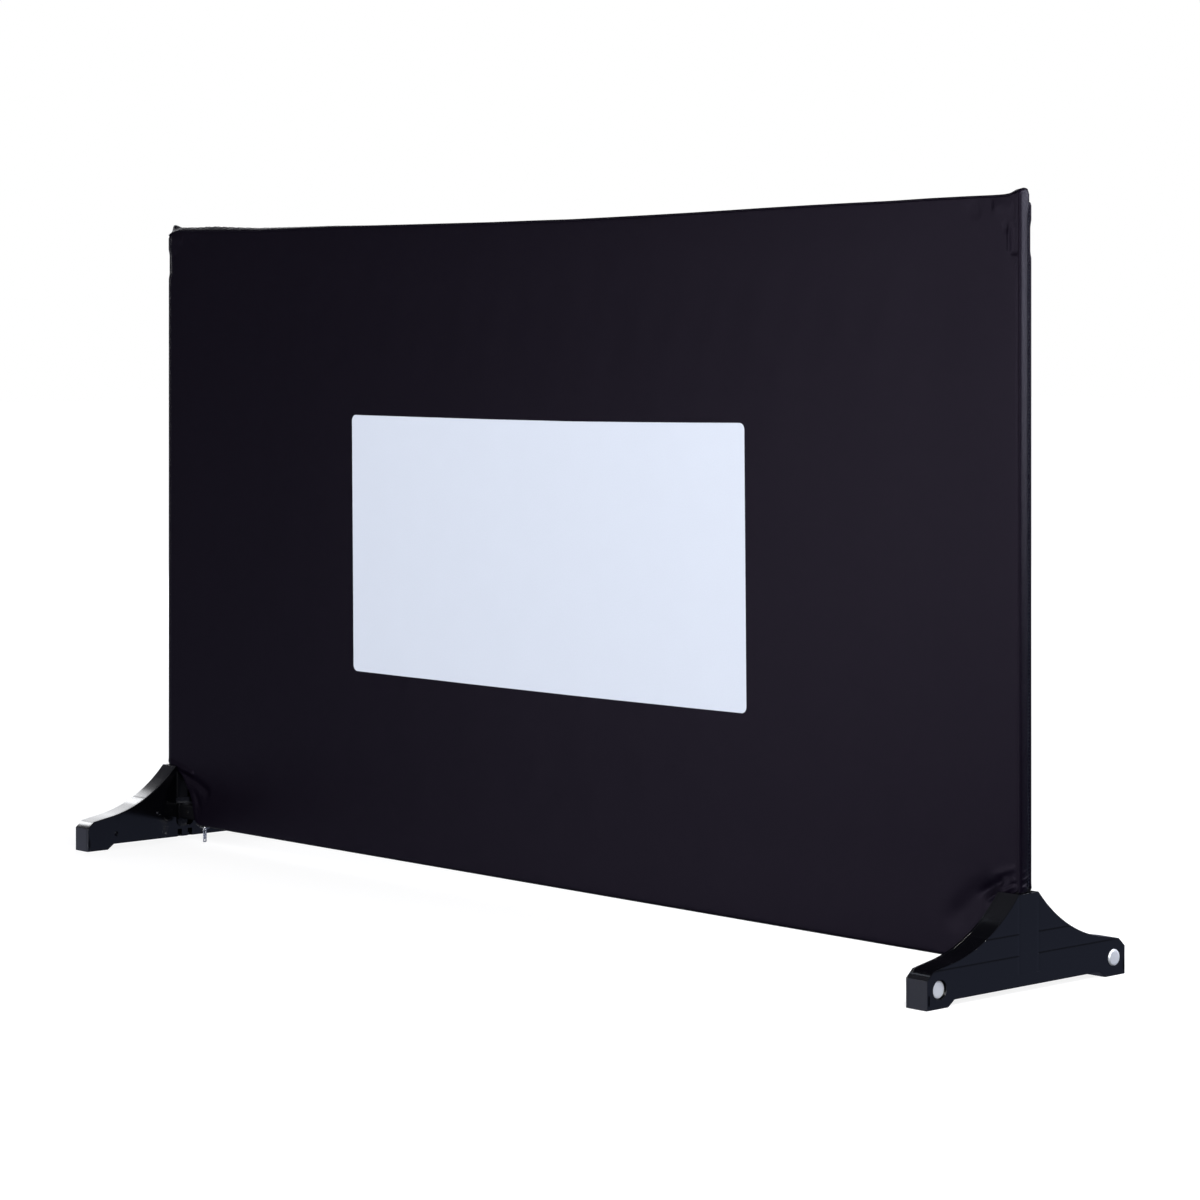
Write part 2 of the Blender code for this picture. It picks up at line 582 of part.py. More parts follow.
# Fabric sleeve: a front, a back, two side strips and a top strip, sewn at the edges
def top_edge():
    """The sleeve's top edge as (x, z), from left to right: lowest in the middle, where it is pulled tight."""
    points = []
    for k in range(COVER_TOP_STEPS + 1):
        share = 2 * k / COVER_TOP_STEPS - 1
        points.append((FABRIC_END_X * share, COVER_TOP_Z + COVER_RISE * share ** 2))
    return points


def corner_cut():
    """The hollow cut at a lower corner as (x, z), from the bottom edge out to the side strip."""
    foot = Vector((FABRIC_END_X - CORNER_CUT_WIDTH, COVER_BOTTOM_Z))
    corner = Vector((FABRIC_END_X - CUT_TURN, COVER_BOTTOM_Z))
    turn = Vector((FABRIC_END_X - CUT_TURN, CUT_TURN_Z))
    lip = Vector((FABRIC_END_X - CUT_LIP, CUT_LIP_Z))
    points = []
    for k in range(CORNER_CUT_STEPS + 1):
        t = k / CORNER_CUT_STEPS
        s = 1 - t
        points.append(tuple(s ** 3 * foot + 3 * s ** 2 * t * corner + 3 * s * t ** 2 * turn + t ** 3 * lip))
    return points + [(FABRIC_END_X, SIDE_HEM_Z)]


def cover(fabric):
    right = corner_cut()
    outline = [(-x, z) for x, z in reversed(right)] + right + list(reversed(top_edge()))
    add("cover_front", prism(outline, 1, -FABRIC_OUT, -FABRIC_IN), fabric)
    add("cover_back", prism(outline, 1, FABRIC_IN, FABRIC_OUT), fabric)
    strip_half = FABRIC_IN - GAP
    end = UPRIGHT_X + FABRIC_IN - GAP
    above = [(x * end / FABRIC_END_X, z) for x, z in top_edge()]
    ribbon = above + [(x, z - COVER_THICKNESS) for x, z in reversed(above)]
    add("cover_top", prism(ribbon, 1, -strip_half, strip_half), fabric)
    shoulder_z = COVER_TOP_Z + COVER_RISE
    side_view = [(-strip_half, SIDE_HEM_Z), (strip_half, SIDE_HEM_Z), (strip_half, shoulder_z),
                 (EAR_WIDTH / 2 + EAR_SHOULDER / 2, shoulder_z), (EAR_WIDTH / 2, EAR_Z),
                 (-EAR_WIDTH / 2, EAR_Z), (-EAR_WIDTH / 2 - EAR_SHOULDER / 2, shoulder_z), (-strip_half, shoulder_z)]
    add("cover_side_right", prism(side_view, 0, FABRIC_END_X - COVER_THICKNESS, FABRIC_END_X), fabric)
    add("cover_side_left", prism(side_view, 0, -FABRIC_END_X, -FABRIC_END_X + COVER_THICKNESS), fabric)


# Zip that closes the sleeve under the bottom rail
def zip_tapes(fabric):
    row_out = ZIP_ROW_SPACE / 2 + ZIP_ROW_WIDTH
    half = ZIP_TAPE_THICKNESS / 2
    inner = row_out + GAP
    bend = inner + ZIP_TAPE_LEVEL
    edge = FABRIC_IN - GAP
    edge_z = COVER_BOTTOM_Z + half
    for name, hand in (("front", -1), ("back", 1)):
        outline = [(hand * inner, ZIP_Z - half), (hand * bend, ZIP_Z - half), (hand * edge, edge_z - half),
                   (hand * edge, edge_z + half), (hand * bend, ZIP_Z + half), (hand * inner, ZIP_Z + half)]
        add("zip_tape_" + name, prism(outline, 0, -ZIP_HALF_LENGTH, ZIP_HALF_LENGTH), fabric)


def zip_rows(plastic, metal):
    """The two rows of teeth, and a stop crimped over both at each end."""
    middle_y = (ZIP_ROW_SPACE + ZIP_ROW_WIDTH) / 2
    for name, hand in (("front", -1), ("back", 1)):
        outline = rounded(ZIP_ROW_WIDTH, ZIP_ROW_HEIGHT, ZIP_ROW_HEIGHT / 4, 2, (hand * middle_y, ZIP_Z))
        add("zip_teeth_" + name, prism(outline, 0, -ZIP_HALF_LENGTH, ZIP_HALF_LENGTH), plastic)
    width = ZIP_ROW_SPACE + 2 * ZIP_ROW_WIDTH
    outline = rounded(width, ZIP_ROW_HEIGHT, ZIP_ROW_HEIGHT / 4, 2, (0.0, ZIP_Z))
    for name, hand in (("left", -1), ("right", 1)):
        across = sorted((hand * (ZIP_HALF_LENGTH + GAP), hand * (ZIP_HALF_LENGTH + GAP + ZIP_STOP_LENGTH)))
        add("zip_stop_" + name, prism(outline, 0, across[0], across[1]), metal)


def slider(parent, metal):
    """Two plates with flanges, joined by the wedge that runs between the rows, and a bail for the pull."""
    half = SLIDER_LENGTH / 2
    room = ZIP_ROW_HEIGHT / 2 + GAP
    tape = ZIP_TAPE_THICKNESS / 2 + GAP
    side = SLIDER_WIDTH / 2
    lip = side - SLIDER_FLANGE
    made = add("zip_slider", prism(rounded(SLIDER_LENGTH, SLIDER_WIDTH, SLIDER_WIDTH / 4, 4), 2,
                                   -room - SLIDER_PLATE, room + SLIDER_PLATE), metal, parent)
    past = half + OVERRUN
    for name, hand in (("front", -1), ("back", 1)):
        inside = sorted((hand * SLIDER_WEDGE / 2, hand * lip))
        across = sorted((hand * SLIDER_WEDGE / 2, hand * (side + OVERRUN)))
        cut(made, add("row_way_" + name, box((-past, inside[0], -room), (past, inside[1], room)), parent=parent),
            add("tape_way_" + name, box((-past, across[0], -tape), (past, across[1], tape)), parent=parent))
    under = -room - SLIDER_PLATE
    low = under - BAIL_ROOM - BAIL_BAR
    reach = BAIL_SPAN / 2
    arch = [(-reach, under + SLIDER_PLATE / 2), (-reach, low + BAIL_BAR), (-reach + BAIL_BAR, low),
            (reach - BAIL_BAR, low), (reach, low + BAIL_BAR), (reach, under + SLIDER_PLATE / 2),
            (reach - BAIL_BAR, under + SLIDER_PLATE / 2), (reach - BAIL_BAR, low + BAIL_BAR),
            (-reach + BAIL_BAR, low + BAIL_BAR), (-reach + BAIL_BAR, under + SLIDER_PLATE / 2)]
    join(made, add("bail", prism(arch, 1, -BAIL_WIDTH / 2, BAIL_WIDTH / 2), parent=parent))
    smooth_rounds(made)
    return under - BAIL_ROOM / 2


def pull(parent, metal):
    """The hanging pull tab; its crossbar lies in the bail, and a window leaves room for the bail."""
    bar = PULL_THICKNESS / 2
    outline = rounded(PULL_WIDTH, PULL_LENGTH, PULL_WIDTH / 4, 4, (0.0, bar - PULL_LENGTH / 2))
    made = add("zip_pull", prism(outline, 0, -bar, bar, bar / 3, (0, 1)), metal, parent)
    window = BAIL_WIDTH / 2 + PULL_SWING_ROOM
    gap = box((-PULL_WIDTH, -window, -bar - PULL_WINDOW), (PULL_WIDTH, window, -bar))
    eye = cylinder(PULL_EYE / 2, 0, -PULL_WIDTH, PULL_WIDTH, (0, 0, bar - PULL_LENGTH + PULL_EYE))
    cut(made, add("pull_window", gap, parent=parent), add("pull_eye", eye, parent=parent))
    smooth_rounds(made)


def build():
    clear_scene()
    steel = material("powder_coated_steel", (0.012, 0.012, 0.014), 0.35, 0.0)
    plastic = material("black_moulded_plastic", (0.010, 0.011, 0.013), 0.25, 0.0)
    foot_plastic = material("black_foot_plastic", (0.010, 0.011, 0.013), 0.22, 0.0)
    zinc = material("zinc_plated_steel", (0.62, 0.62, 0.60), 0.35, 1.0)
    nickel = material("nickel_plated_disc", (0.80, 0.82, 0.84), 0.25, 1.0)
    fabric = material("black_stretch_fabric", (0.010, 0.008, 0.014), 0.8, 0.0)
    tape = material("black_zip_tape", (0.012, 0.012, 0.013), 0.7, 0.0)
    silver = material("silver_zip_metal", (0.80, 0.80, 0.80), 0.3, 1.0)

    ends = {"left": empty("left_end", -UPRIGHT_X, math.pi), "right": empty("right_end", UPRIGHT_X)}
    frame(ends, steel, plastic, zinc)
    for side, hand in (("left", -1), ("right", 1)):
        foot = empty(side + "_foot", hand * UPRIGHT_X, math.pi if hand < 0 else 0.0)
        foot_shell(side, foot, foot_plastic)
        foot_plate(side, foot, foot_plastic)
        foot_screws(side, foot, zinc)
        link_discs(side, foot, nickel)
    cover(fabric)
    zip_tapes(tape)
    zip_rows(plastic, silver)
    slide = empty("zip_slide", SLIDER_REST_X, z=ZIP_Z)
    hinge_z = slider(slide, silver)
    hinge = empty("pull_hinge", SLIDER_REST_X, z=ZIP_Z + hinge_z)
    pull(hinge, silver)


build()
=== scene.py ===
import math
from functools import partialmethod

import bmesh
import bpy
import numpy as np
from mathutils import Matrix, Vector
from mathutils.geometry import delaunay_2d_cdt


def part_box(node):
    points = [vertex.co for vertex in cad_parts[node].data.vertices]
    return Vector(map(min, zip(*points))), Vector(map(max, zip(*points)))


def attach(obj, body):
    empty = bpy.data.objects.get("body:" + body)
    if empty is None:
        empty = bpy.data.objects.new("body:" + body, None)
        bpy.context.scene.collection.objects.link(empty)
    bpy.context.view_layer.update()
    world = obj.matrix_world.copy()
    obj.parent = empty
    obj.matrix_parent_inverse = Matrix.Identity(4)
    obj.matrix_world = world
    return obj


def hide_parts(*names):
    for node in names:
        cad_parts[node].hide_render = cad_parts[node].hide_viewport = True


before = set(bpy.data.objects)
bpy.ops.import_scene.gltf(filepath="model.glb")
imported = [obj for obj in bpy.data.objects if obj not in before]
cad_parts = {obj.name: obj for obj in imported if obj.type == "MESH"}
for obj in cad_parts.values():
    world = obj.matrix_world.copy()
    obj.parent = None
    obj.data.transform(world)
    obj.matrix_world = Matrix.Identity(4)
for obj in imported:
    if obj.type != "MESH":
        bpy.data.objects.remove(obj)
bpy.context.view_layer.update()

# ------------
# The steel frame: two uprights and two rails of 18 mm square tube, black powder coat over
# steel. The coat lies a little thick, with the fine skin of baked powder.


class Value:
    """What a node gives: sums are written with the usual signs, and [name] is another of its outputs."""

    def __init__(self, source, name=0):
        self.node, self.name = source, name

    def __getitem__(self, name):
        return Value(self.node, name)

    def then(self, operation, *terms):
        return node(self.node.id_data, "Math", dict(enumerate((self, *terms))), operation=operation)

    __add__ = partialmethod(then, "ADD")
    __sub__ = partialmethod(then, "SUBTRACT")
    __mul__ = partialmethod(then, "MULTIPLY")
    __truediv__ = partialmethod(then, "DIVIDE")
    __pow__ = partialmethod(then, "POWER")
    __mod__ = partialmethod(then, "MODULO")
    __gt__ = partialmethod(then, "GREATER_THAN")
    __abs__ = partialmethod(then, "ABSOLUTE")


def feed(made, inputs):
    """Sets a node's inputs: each is a number, a vector, a colour (red, green, blue) or what another node gives."""
    for key, value in inputs.items():
        socket = made.inputs[key]
        if isinstance(value, Value):
            made.id_data.links.new(value.node.outputs[value.name], socket)
        else:
            socket.default_value = (*value, 1) if socket.type == "RGBA" else value


def node(tree, kind, inputs=None, **settings):
    """A new node with its settings and inputs; kind is its type without the family's name before it."""
    family = next(of for of in ("ShaderNode", "GeometryNode", "FunctionNode") if hasattr(bpy.types, of + kind))
    made = tree.nodes.new(family + kind)
    for key, value in settings.items():
        setattr(made, key, value)
    feed(made, inputs or {})
    return Value(made)


def mixed(factor, first, second):
    """Two colours mixed."""
    return node(factor.node.id_data, "Mix", {"Factor": factor, "A": first, "B": second}, data_type="RGBA")["Result"]


def group(name, kind, inputs, outputs=("Geometry",)):
    """A node group: (tree, inputs, output node). An input is named with its kind, or with a float's value."""
    tree = bpy.data.node_groups.new(name, kind + "NodeTree")
    sockets = [("INPUT", *item) for item in inputs.items()]
    sockets += [("OUTPUT", label, "Geometry" if label == "Geometry" else "Float") for label in outputs]
    for way, label, value in sockets:
        of = value if isinstance(value, str) else "Float"
        socket = tree.interface.new_socket(label, in_out=way, socket_type="NodeSocket" + of)
        if value is not of:
            socket.default_value = value
    return tree, Value(tree.nodes.new("NodeGroupInput")), tree.nodes.new("NodeGroupOutput")


def surface(name, **sockets):
    """A material and its Principled shader, with what is the same all over set on the shader itself."""
    made = bpy.data.materials.new(name)
    made.use_nodes = True
    shader = made.node_tree.nodes["Principled BSDF"]
    feed(shader, {key.replace("_", " "): value for key, value in sockets.items()})
    return made, made.node_tree, shader


def relief(shader, height, depth, strength=1.0):
    """A fine relief, depth in metres."""
    feed(shader, {"Normal": node(shader.id_data, "Bump", {
        "Height": height, "Distance": depth, "Strength": strength})})


skin, taken, given = group("moulded_skin", "Shader", {
    "Vector": "Vector", "Scale": 900.0, "Roughness": 0.3, "Spread": 0.08}, ("Height", "Roughness", "Cloud"))
fine = node(skin, "TexNoise", {"Vector": taken["Vector"], "Scale": taken["Scale"], "Detail": 3.0})
cloud = node(skin, "TexNoise", {"Vector": taken["Vector"], "Scale": 45.0, "Detail": 4.0, "Roughness": 0.6})
feed(given, {"Height": fine, "Cloud": cloud, "Roughness": taken["Roughness"] + (cloud - 0.5) * taken["Spread"]})


def skinned(name, colour, roughness, grain, depth=0.00001, spread=0.10, **sockets):
    """A finish with a skin's grain, and roughness that drifts over the surface, as does a pair of colours."""
    made, tree, shader = surface(name, **sockets)
    effect = node(tree, "Group", {
        "Vector": node(tree, "TexCoord")["Object"], "Scale": grain, "Roughness": roughness,
        "Spread": spread}, node_tree=skin)
    if len(colour) == 2:
        colour = mixed(effect["Cloud"], *colour)
    feed(shader, {"Base Color": colour, "Roughness": effect["Roughness"]})
    relief(shader, effect["Height"], depth)
    return made


powder_coat = skinned("black_powder_coat", (0.003, 0.003, 0.004), roughness=0.40, grain=1400, depth=0.00002,
                      Specular_IOR_Level=0.08)
for name in ("upright_left", "upright_right", "top_rail", "bottom_rail"):
    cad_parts[name].material_slots[0].material = powder_coat


# ------------
# Corner fittings: four black injection mouldings, pushed into the tubes with square spigots.
# Their edges are broken by the mould.
FITTING_EDGE = 0.0004
SHARP = math.radians(35)     # an edge that turns by more than this is sharp


def plain_copy(node_name):
    """A CAD node's surface as one joined bmesh, its flats undivided."""
    shape = bmesh.new()
    shape.from_mesh(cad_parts[node_name].data)
    bmesh.ops.remove_doubles(shape, verts=shape.verts, dist=0.000002)
    bmesh.ops.dissolve_limit(shape, angle_limit=math.radians(0.5), verts=shape.verts, edges=shape.edges)
    return shape


def dress(made, finish, body, stands_for=(), smooth=True):
    """An object in its finish, which rides on its body and stands for CAD nodes."""
    if not made.users_scene:
        bpy.context.scene.collection.objects.link(made)
    made.data.materials.clear()
    made.data.materials.append(finish)
    if smooth:
        made.data.shade_smooth()
    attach(made, body)
    if stands_for:
        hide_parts(*stands_for)
    return made


def piece(name, shape, finish, body, node_name):
    """A bmesh as a piece of the object."""
    mesh = bpy.data.meshes.new(name)
    shape.to_mesh(mesh)
    shape.free()
    return dress(bpy.data.objects.new(name, mesh), finish, body, (node_name,))


def softened(node_name, edge, finish, body, name=""):
    """A CAD node's own shape with its sharp edges broken."""
    made = piece(name or node_name + "_moulded", plain_copy(node_name), finish, body, node_name)
    bevel = made.modifiers.new("broken_edges", "BEVEL")
    bevel.width, bevel.segments, bevel.limit_method, bevel.angle_limit = edge, 2, "ANGLE", SHARP
    flats = made.modifiers.new("flat_faces_stay_flat", "WEIGHTED_NORMAL")
    flats.weight, flats.keep_sharp = 100, True


fitting_plastic = skinned("black_fitting_plastic", (0.003, 0.003, 0.004), roughness=0.24, grain=1100,
                          Specular_IOR_Level=0.4)
for side in ("left", "right"):
    for level in ("bottom", "top"):
        softened(f"{level}_corner_{side}", FITTING_EDGE, fitting_plastic, "frame")


# ------------
# Blind rivets: black zinc plated, set flush through the tube's front wall into each spigot.
zinc = skinned("black_zinc_plate", ((0.030, 0.030, 0.033), (0.060, 0.060, 0.062)), roughness=0.34, grain=2500,
               spread=0.25, Metallic=1.0)
for name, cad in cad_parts.items():
    if name.startswith("rivet_"):
        cad.material_slots[0].material = zinc


# ------------
# Feet: each an injection moulded shell with a screwed cover plate, in hard black plastic with a
# satin gloss. The socket walls and ribs behind the outer face show on it as faint sink marks.
FOOT_EDGE = 0.0010
SINK_DEPTH = 0.00018
SOCKET_WALL_Y = 0.0142       # from the foot's middle
SOCKET_FLOOR_Z = 0.018
SOCKET_MARK = 0.0012         # the marks' half widths
RIB_LEVELS = (0.0368, 0.0575)
RIB_MARK = 0.0009

foot_skin = skinned("black_foot_plastic", (0.0010, 0.0011, 0.0016), roughness=0.13, grain=700, depth=0.000008,
                    spread=0.04, Specular_IOR_Level=0.85)


def sink_marks(finish):
    """Shallow valleys over the ribs behind the face, added to the skin's relief."""
    made = finish.copy()
    made.name = "black_foot_shell_plastic"
    tree = made.node_tree
    place = node(tree, "SeparateXYZ", {0: node(tree, "TexCoord")["Object"]})
    across, up = abs(place["Y"]), place["Z"]

    def valley(value, centre, width):
        return (abs((value - centre) / width) ** 2.5 + 1.0) ** -1.0

    total = valley(across, SOCKET_WALL_Y, SOCKET_MARK) * (up > SOCKET_FLOOR_Z)
    beside = across > SOCKET_WALL_Y
    for level in RIB_LEVELS:
        total = total + valley(up, level, RIB_MARK) * beside
    grain = Value(next(n for n in tree.nodes if n.type == "BUMP"))
    marks = node(tree, "Bump", {"Height": total * -1.0, "Distance": SINK_DEPTH, "Normal": grain})
    feed(tree.nodes["Principled BSDF"], {"Normal": marks})
    return made


shell_skin = sink_marks(foot_skin)
for side in ("left", "right"):
    softened("foot_shell_" + side, FOOT_EDGE, shell_skin, side + "_foot")
    softened("foot_plate_" + side, FOOT_EDGE / 2, foot_skin, side + "_foot")


# ------------
# Cover plate screws: blackened steel pan heads with a cross recess, sunk in the plate's inner
# face, four to a foot.
HEAD_HEIGHT = 0.0015
SIDES = (("left", -1), ("right", 1))
POINTS = {"Geometry": "Geometry", "Finish": "Material"}      # what each tree below takes

black_steel = skinned("blackened_steel", (0.035, 0.035, 0.040), roughness=0.25, grain=3000, spread=0.2,
                      Metallic=1.0)


def set_out(taken, given, points, shape, turn=(0.0, 0.0, 0.0)):
    """The end of a tree: the shape set on every point, made real and in its finish."""
    tree = given.id_data
    copies = node(tree, "InstanceOnPoints", {"Points": points, "Instance": shape, "Rotation": turn})
    real = node(tree, "RealizeInstances", {"Geometry": copies})
    feed(given, {"Geometry": node(tree, "SetMaterial", {"Geometry": real, "Material": taken["Finish"]})})


def grown(name, places, tree, sizes, edges=(), vectors=()):
    """What a tree makes of points, or of a line with (label, vector) on its points, as a plain mesh object."""
    start = bpy.data.meshes.new(name + "_start")
    start.from_pydata([tuple(p) for p in places], edges, [])
    for label, vector in vectors:
        for item in start.attributes.new(label, "FLOAT_VECTOR", "POINT").data:
            item.vector = vector
    base = bpy.data.objects.new(name + "_start", start)
    bpy.context.scene.collection.objects.link(base)
    step = base.modifiers.new("growth", "NODES")
    step.node_group = tree
    for item in tree.interface.items_tree:
        if item.in_out == "INPUT" and item.name in sizes:
            step[item.identifier] = sizes[item.name]
    bpy.context.view_layer.update()
    mesh = bpy.data.meshes.new_from_object(base.evaluated_get(bpy.context.evaluated_depsgraph_get()))
    mesh.name = name
    bpy.data.objects.remove(base)
    return bpy.data.objects.new(name, mesh)


def seat(node_name, hand):
    """The middle of a CAD node's inner face."""
    low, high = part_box(node_name)
    return low.x if hand > 0 else high.x, (low.y + high.y) / 2, (low.z + high.z) / 2


screws, taken, given = group("plate_screws", "Geometry", {
    **POINTS, "Head radius": 0.00245, "Head height": HEAD_HEIGHT, "Recess length": 0.0030, "Recess width": 0.0007,
    "Facing": "Rotation"})
radius, height = taken["Head radius"], taken["Head height"]
head = node(screws, "MeshCylinder", {
    "Vertices": 24, "Fill Segments": 4, "Radius": radius, "Depth": height}, fill_type="TRIANGLE_FAN")
spot = node(screws, "InputPosition")
off_middle = node(screws, "VectorMath", {0: spot}, operation="LENGTH")["Value"]
on_top = node(screws, "SeparateXYZ", {0: spot})["Z"] > 0.0
drop = node(screws, "CombineXYZ", {"Z": (off_middle / radius) ** 3.0 * (height * -0.35) * on_top})
recessed = node(screws, "MeshBoolean", {
    "Mesh 1": node(screws, "SetPosition", {"Geometry": head, "Offset": drop})},
    operation="DIFFERENCE", solver="EXACT")
lift = node(screws, "CombineXYZ", {"Z": height * 0.55})
for along, wide in (("Recess length", "Recess width"), ("Recess width", "Recess length")):
    size = node(screws, "CombineXYZ", {"X": taken[along], "Y": taken[wide], "Z": height})
    feed(recessed.node, {"Mesh 2": node(screws, "Transform", {
        "Geometry": node(screws, "MeshCube", {"Size": size}), "Translation": lift})})
set_out(taken, given, taken["Geometry"], recessed, taken["Facing"])

for side, hand in SIDES:
    names = [f"foot_screw_{side}_{k}" for k in range(1, 5)]
    places = [(x + hand * HEAD_HEIGHT / 2, y, z) for x, y, z in (seat(name, hand) for name in names)]
    made = grown("foot_screws_" + side, places, screws, {
        "Facing": (0.3, math.radians(-90 * hand), 0.0), "Finish": black_steel})
    dress(made, black_steel, side + "_foot", names, smooth=False)


# ------------
# Linking discs: turned steel, bright nickel plate, pressed into the feet's outer faces. One
# stands proud with a chamfer and its mate is sunk.
nickel = skinned("bright_nickel", ((0.84, 0.88, 0.92), (0.94, 0.96, 0.97)), roughness=0.50, grain=1800,
                 depth=0.000006, spread=0.16, Metallic=0.70)


def lathe(profile, steps):
    """A profile of (radius, height) turned about X, closed where it starts and ends on the axis."""
    shape = bmesh.new()
    rings = []
    for radius, height in profile:
        count = steps if radius > 0 else 1
        turns = [2 * math.pi * k / steps for k in range(count)]
        rings.append([shape.verts.new((height, radius * math.cos(a), radius * math.sin(a))) for a in turns])
    for low, high in zip(rings, rings[1:]):
        for k in range(steps):
            after = (k + 1) % steps
            corners = [low[k % len(low)], low[after % len(low)], high[after % len(high)], high[k % len(high)]]
            shape.faces.new(list(dict.fromkeys(corners)))
    bmesh.ops.recalc_face_normals(shape, faces=shape.faces)
    return shape


def turned_disc(kind, side, hand, chamfer):
    """A disc with a chamfer; its corners are a little soft, and rings divide the face."""
    node_name = f"link_disc_{kind}_{side}"
    low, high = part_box(node_name)
    radius, depth = (high.z - low.z) / 2, high.x - low.x
    soft, slope = chamfer * 0.25, radius - chamfer
    shape = lathe([(0, 0), (radius, 0), (radius, depth - chamfer - soft), (radius - soft * 0.4, depth - chamfer),
                   (slope + soft * 0.4, depth - soft * 0.4), (slope - soft, depth), (radius * 0.6, depth),
                   (radius * 0.3, depth), (0, depth)], 72)
    if hand < 0:
        bmesh.ops.rotate(shape, verts=shape.verts, matrix=Matrix.Rotation(math.pi, 3, "Z"))
    bmesh.ops.translate(shape, verts=shape.verts, vec=seat(node_name, hand))
    made = piece(f"disc_{kind}_{side}", shape, nickel, side + "_foot", node_name)
    made.data.set_sharp_from_angle(angle=math.radians(30))


for side, hand in SIDES:
    turned_disc("proud", side, hand, 0.0010)
    turned_disc("sunk", side, hand, 0.0005)


# ------------
# The sleeve's two panels: black polyester jersey, cut to the frame's outline and pulled over it.
# The edges turn in at the sewn seams, the bottom edge turns under the rail to the zip, and the
# cut-outs over the feet curl round the upright, with folds where the hem gathers.
END_X = 0.69685              # the sleeve's outer side face
FACE_Y = 0.0101              # and its outer front and back faces
BOTTOM_Z = 0.0242
CLOTH = 0.0007
SEAM_BACK_Y = 0.0016
SEWN = (0.0008, 0.0)         # an edge that turns in at a corner seam: its radius, and how far it goes on round
ROUND = (0.0036, FACE_Y - 0.0036 - SEAM_BACK_Y)    # an edge that goes round the corner to the seam on the side
HEM = (0.0022, 0.0)          # and the same for the hem
TUCK = 0.0004                # how sharply a cut edge turns in behind
LAID = 0.0012                # how far the cloth leans in towards the side seam
HEM_TURN = 0.0008            # how far a cut edge goes on behind
SEAM_TURN = 0.0012
HEM_END_Z = 0.0972           # the hem's curve ends below this, and the side edge starts over it
SIDE_END_Z = 0.0985
PAD = 0.0003                 # the cloth dips no further than this over a tube
FOLD_DEPTH = 0.004           # a fold dies away over this much of the turned edge
FLAT_HEIGHT = 0.7375         # the cut cloth's, up to its top edge
FULL_STEP = 0.0009           # what the top strip shows over the panel where it shows most
SEWN_END_X = 0.6955          # a sewn edge stops short of the corner, where the strip comes round
ROUND_END_X = 0.6969


def metres(table):
    """Sizes in millimetres as metres."""
    return np.round(np.array(table, float) / 1000, 6)


TOP_LINE = metres(((-697, 753.8), (-693.3, 755.2), (-684.5, 758.4), (-676, 759.8), (-660, 759.8),
    (-648, 759.2), (-585, 757.7), (-514, 756.1), (-445, 756.3), (-368, 756.6), (-292, 755.7), (-219, 755.1),
    (-148, 754.5), (-78, 753.9), (0, 753.9), (56, 753.7), (120, 754.4), (183, 755.2), (244, 756.1),
    (304, 757.2), (362, 758.3), (419, 759.1), (475, 759.6), (529, 759.9), (582, 760.9), (634, 761.3),
    (664, 761.3), (676.4, 761.5), (684.9, 762), (690.1, 763), (695, 764.6), (697, 765.6)))
HEM_LINE = metres(((696.8, 96.8), (690, 94), (683, 91), (676.4, 88.3), (668.7, 84.2), (662.1, 78.3),
    (656.2, 70.5), (651.3, 62.8), (648, 55.8), (646.3, 48.1), (645.4, 40.4), (644, 33), (640.5, 27.8),
    (634, 24.8), (626, 24.2)))
HEM_ROLL = metres(((24.2, 2.2), (26.5, 4), (33, 6.2), (48, 4.8), (60, 2.7), (75, 1.3), (97, 1.1)))

# folds, in millimetres: a line of points (x, z), the fold's half width, its height or depth, and over
# what share of the line it fades in
HEM_FOLDS = (
    # the hem gathers at the right foot
    (((640, 84), (654, 93.5), (666, 100), (688, 108.5)), 4, -1.6),
    (((650, 80), (664, 88.5), (679, 95.8), (693, 102.6)), 1.7, 1.3),
    (((670, 96.5), (675.5, 99.5), (692.5, 107.8)), 1.4, 1.1),
    (((674, 95.5), (685, 101), (694, 105)), 1.1, -1),
    (((660, 108), (676, 113), (693, 119)), 2.8, 0.7),
    (((600, 45), (618, 66), (642, 87), (670, 101)), 12, -1.6),
    # and at the left foot, where it is drawn out to the side
    (((-696, 99), (-680, 95.5), (-662, 91.5), (-640, 86)), 3.4, 1.5, 0.2),
    (((-675, 88), (-656, 83), (-635, 77), (-605, 64)), 5.5, -1.7),
    (((-644, 70), (-633, 56), (-628, 38)), 4, -0.7)
)
# marks of the top corner fittings, on the right (1), the left (-1) or both sides (0)
PRESSED = (
    (1, ((683.5, 706), (683.5, 732.5)), 0.8, 1.05, 0.08),
    (-1, ((686, 706), (686, 732.5)), 1.6, 0.5, 0.08),
    (0, ((679, 733), (680, 730)), 3, -0.8, 0.0),
    (0, ((662, 752.5), (670, 752), (688, 750)), 6.5, 0.5, 0.1),
    (0, ((667, 749), (668, 748.5)), 3, 0.3, 0.0),
    (0, ((638, 750), (640, 748.5)), 6, -0.7, 0.0)
)


def ease(start, stop, value):
    """0 before start, 1 after stop, smooth between them."""
    share = np.clip((value - start) / (stop - start), 0, 1)
    return share * share * (3 - 2 * share)


def drawn(line, steps):
    """A smooth line through points: (steps, 2), evenly spaced along it."""
    run = np.concatenate([[0], np.cumsum(np.linalg.norm(np.diff(line, axis=0), axis=1))])
    even = np.linspace(0, run[-1], steps)
    out = np.column_stack([np.interp(even, run, line[:, k]) for k in range(2)])
    for _ in range(6):
        out[1:-1] = (out[:-2] + 2 * out[1:-1] + out[2:]) / 4
    return out


top_curve = drawn(TOP_LINE, 480)


def top_z(x):
    """Height of the front panel's top edge, which is drawn up into the sewn corner at the right."""
    return np.interp(x, top_curve[:, 0], top_curve[:, 1])


def strip_step(x):
    """How far the top strip shows over the front panel's edge."""
    return 0.0003 + 0.0006 * ease(0.45, -0.10, x)


